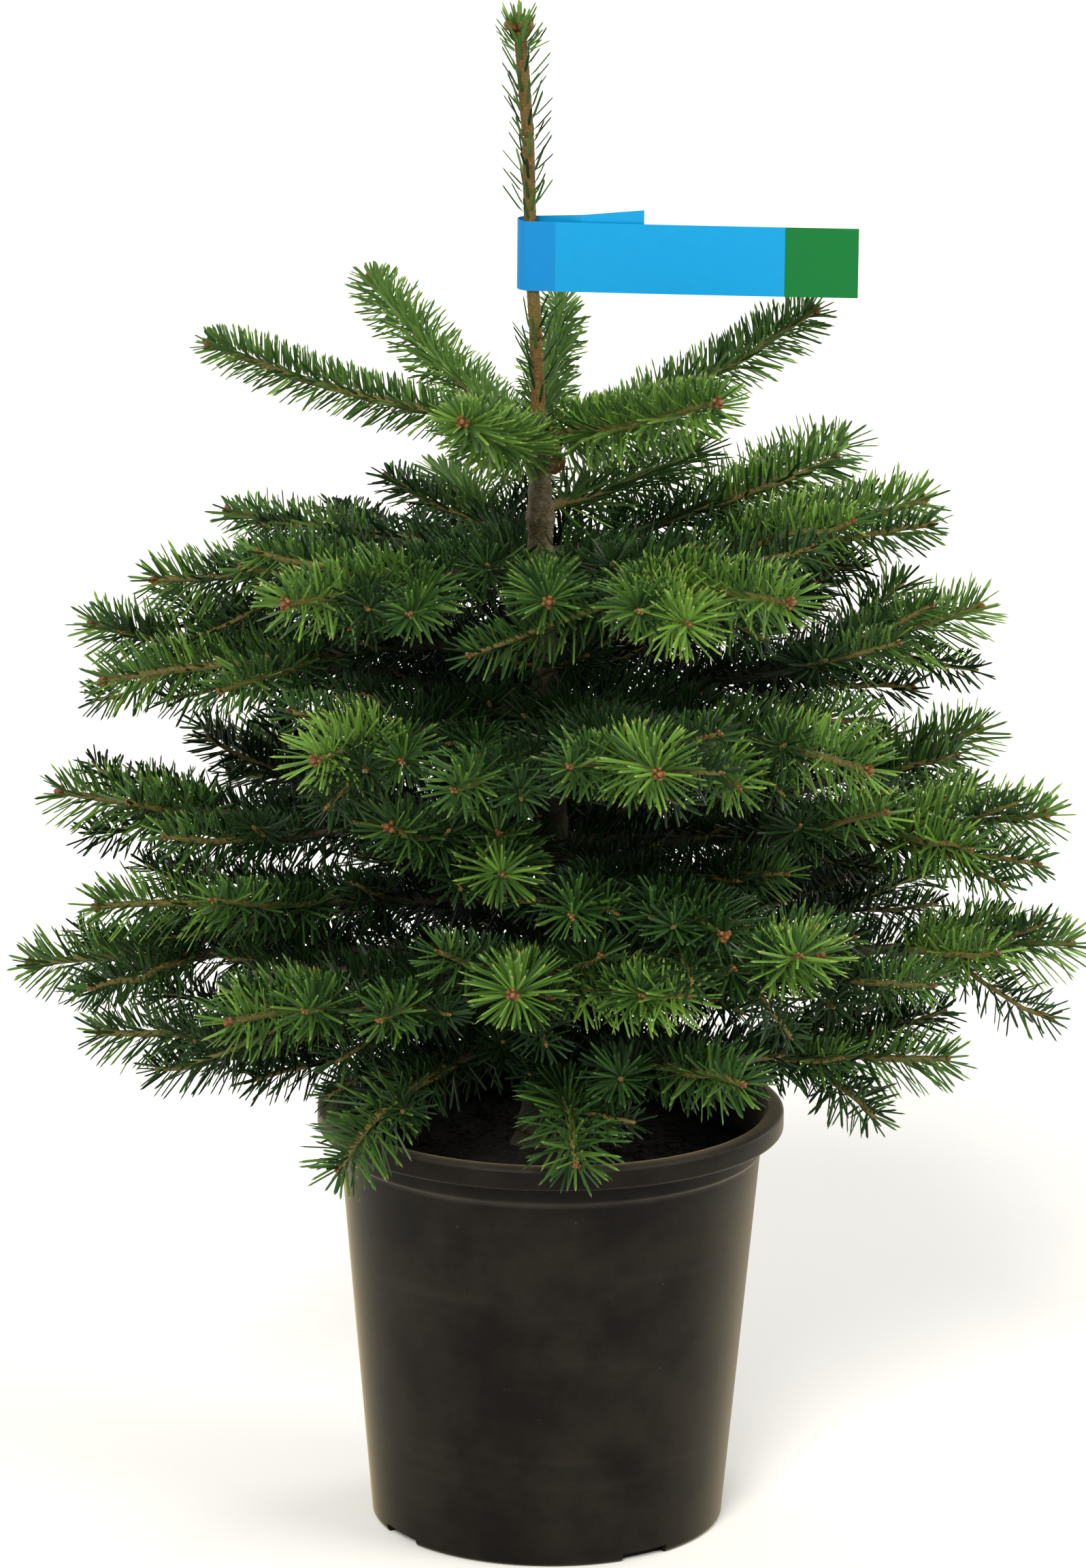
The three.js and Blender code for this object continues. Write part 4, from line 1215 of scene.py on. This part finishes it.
def leader_spray():
    """Needles round the leader, turned by the golden angle, and those of its tuft."""
    rng = np.random.default_rng(LEADER_NEEDLES["seed"])
    tuft_foot = LEADER_TUFT["from"]
    heights = np.concatenate([
        np.linspace(LEADER_NEEDLES["from"], tuft_foot, LEADER_NEEDLES["rows"]),
        np.linspace(tuft_foot, LEADER_LINE[-1][0] - LEADER_TUFT["below"], LEADER_TUFT["rows"])])
    count = len(heights)
    tuft = heights >= tuft_foot
    line, radius = stem_line(heights)
    turn = (np.arange(count) * LEADER_TURN["angle"]
            + rng.normal(0, LEADER_TURN["scatter"], count))
    out = np.stack([np.cos(turn), np.sin(turn), np.zeros(count)], 1)
    lift = np.where(tuft, LEADER_TUFT["lift"] - LEADER_TUFT["closing"] * (heights - tuft_foot),
                    LEADER_NEEDLES["lift"])
    lift = np.radians(lift + rng.normal(0, LEADER_NEEDLES["scatter"], count))
    needle = out * np.sin(lift)[:, None] + np.array([[0, 0, 1]]) * np.cos(lift)[:, None]
    lengths = np.where(tuft, LEADER_TUFT["long"], LEADER_NEEDLES["long"])
    lengths = lengths * rng.uniform(*LEADER_NEEDLES["lengths"], count)
    roots = line + out * (radius - LEADER_NEEDLES["sunk"])[:, None]
    normals = unit(np.cross(needle, np.cross((0, 0, 1), needle)))
    bends = np.array([[0, 0, LEADER_BEND["up"]]]) - out * LEADER_BEND["in"]
    tips = roots + (needle + bends) * lengths[:, None]
    level_with_tag = ((tips[:, 2] > TAG_ROOM["low"] - NEEDLE_ROOM["tag"])
                      & (tips[:, 2] < TAG_ROOM["high"] + NEEDLE_ROOM["tag"]))
    before_tag = level_with_tag & (
        np.hypot(tips[:, 0] - line[:, 0], tips[:, 1]) < TAG_FRONT)
    middles = roots + needle * LEADER_NEEDLES["middle"]
    clear = ~in_the_way(tips) & ~in_the_way(middles) & ~before_tag
    kept = clear & (tips[:, 2] < TOP_LIMIT)
    greens = np.where(tuft, rng.choice([0, 0, 1], count), rng.choice([1, 2, 3], count))
    return [part[kept] for part in (roots, needle, normals, bends, lengths, greens)]


points, faces, slots = needle_mesh(*leader_spray())
leader_needles = piece_from("leader_needles", points, faces, skins, slots, smooth=False)
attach(leader_needles, "root")

# Tag: a strip of coated film looped round the leader and stuck to itself, blue with a
# green end, its face left plain.
TAG = {**TAG_ROOM, "high": 678.5, "tail": 42.4, "thick": 0.6, "loop": 4.6, "rise": 6,
       "droop": 2.2, "front": -3.95, "bow": 1.1, "green": 111.7, "meets": 2.4, "apart": 0.4,
       "straight": 6}
TAG_STEPS = {"front": 40, "loop": 14, "tail": 16}
# Steps of the strip, at the end of its front and round the loop, that are painted darker blue as
# painted shade.
SHADED_LOOP_STEPS = range(37, 54)


def tag_route():
    """Centre line of the strip: its end, its front, the loop and the short tail behind."""
    front = TAG["front"]
    centre_x = TAG["left"] + TAG["loop"]
    fold_x = centre_x + TAG["straight"]
    route = []
    for x in np.linspace(TAG["right"], fold_x, TAG_STEPS["front"]):
        share = (x - centre_x) / (TAG["right"] - centre_x)
        route.append((x, front - TAG["bow"] * math.sin(math.pi * share), -TAG["droop"] * share))
    for share in np.linspace(0, 1, TAG_STEPS["loop"]):
        angle = math.pi * (1.5 - share)
        route.append((centre_x + TAG["loop"] * math.cos(angle),
                      front + TAG["loop"] * (1 + math.sin(angle)), TAG["rise"] / 4 * share))
    behind = front + TAG["thick"] + TAG["apart"]
    for share in np.linspace(0, 1, TAG_STEPS["tail"]):
        meet = min(1, share * TAG["meets"])
        route.append((fold_x + (TAG["tail"] - fold_x) * share,
                      (front + 2 * TAG["loop"]) * (1 - meet) + behind * meet,
                      TAG["rise"] / 4 + TAG["rise"] * 0.75 * share))
    return np.array(route)


def tag_mesh():
    """The strip as a closed ribbon, in blue or green by its place along the front, and in a
    darker blue round the loop as painted shade.
    """
    route = tag_route()
    run = unit(np.gradient(route[:, :2], axis=0))
    side = np.stack([run[:, 1], -run[:, 0], np.zeros(len(route))], 1) * TAG["thick"] / 2
    rows = [route + sign * side + np.array([0, 0, TAG[edge]])
            for sign, edge in ((1, "high"), (-1, "high"), (-1, "low"), (1, "low"))]
    points = np.stack(rows, 1).reshape(-1, 3)
    faces = [(0, 1, 2, 3), tuple(len(points) - 1 - k for k in range(4))]
    slots = [1, 0]
    for k in range(len(route) - 1):
        for corner in range(4):
            after = (corner + 1) % 4
            faces.append((4 * k + corner, 4 * k + 4 + corner, 4 * k + 4 + after, 4 * k + after))
            slots.append(1 if route[k + 1, 0] > TAG["green"] else 2 if k in SHADED_LOOP_STEPS else 0)
    return points, faces, slots


# Coated polypropylene film, printed all over: even colour under a smooth clear coat. Round the
# loop, where the strip curves away, it is painted a little darker: painted shade.
def tag_film(name, code):
    material, tree, shader = finish_named(name, 0.42, 0.25)
    mottle = speckle(tree, place_in(tree), 6, 3)
    dress(tree, shader, {"Base Color": mixed(tree, mottle, toned(code, 0.93), code)})
    return material


films = [tag_film(name, code) for name, code in (
    ("blue film", "#0093CE"), ("green film", "#006E2E"), ("shaded blue film", "#0080C4"))]
points, faces, slots = tag_mesh()
tag = piece_from("blank_tag", points, faces, films, slots, smooth=False)
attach(tag, "root")
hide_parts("tag")
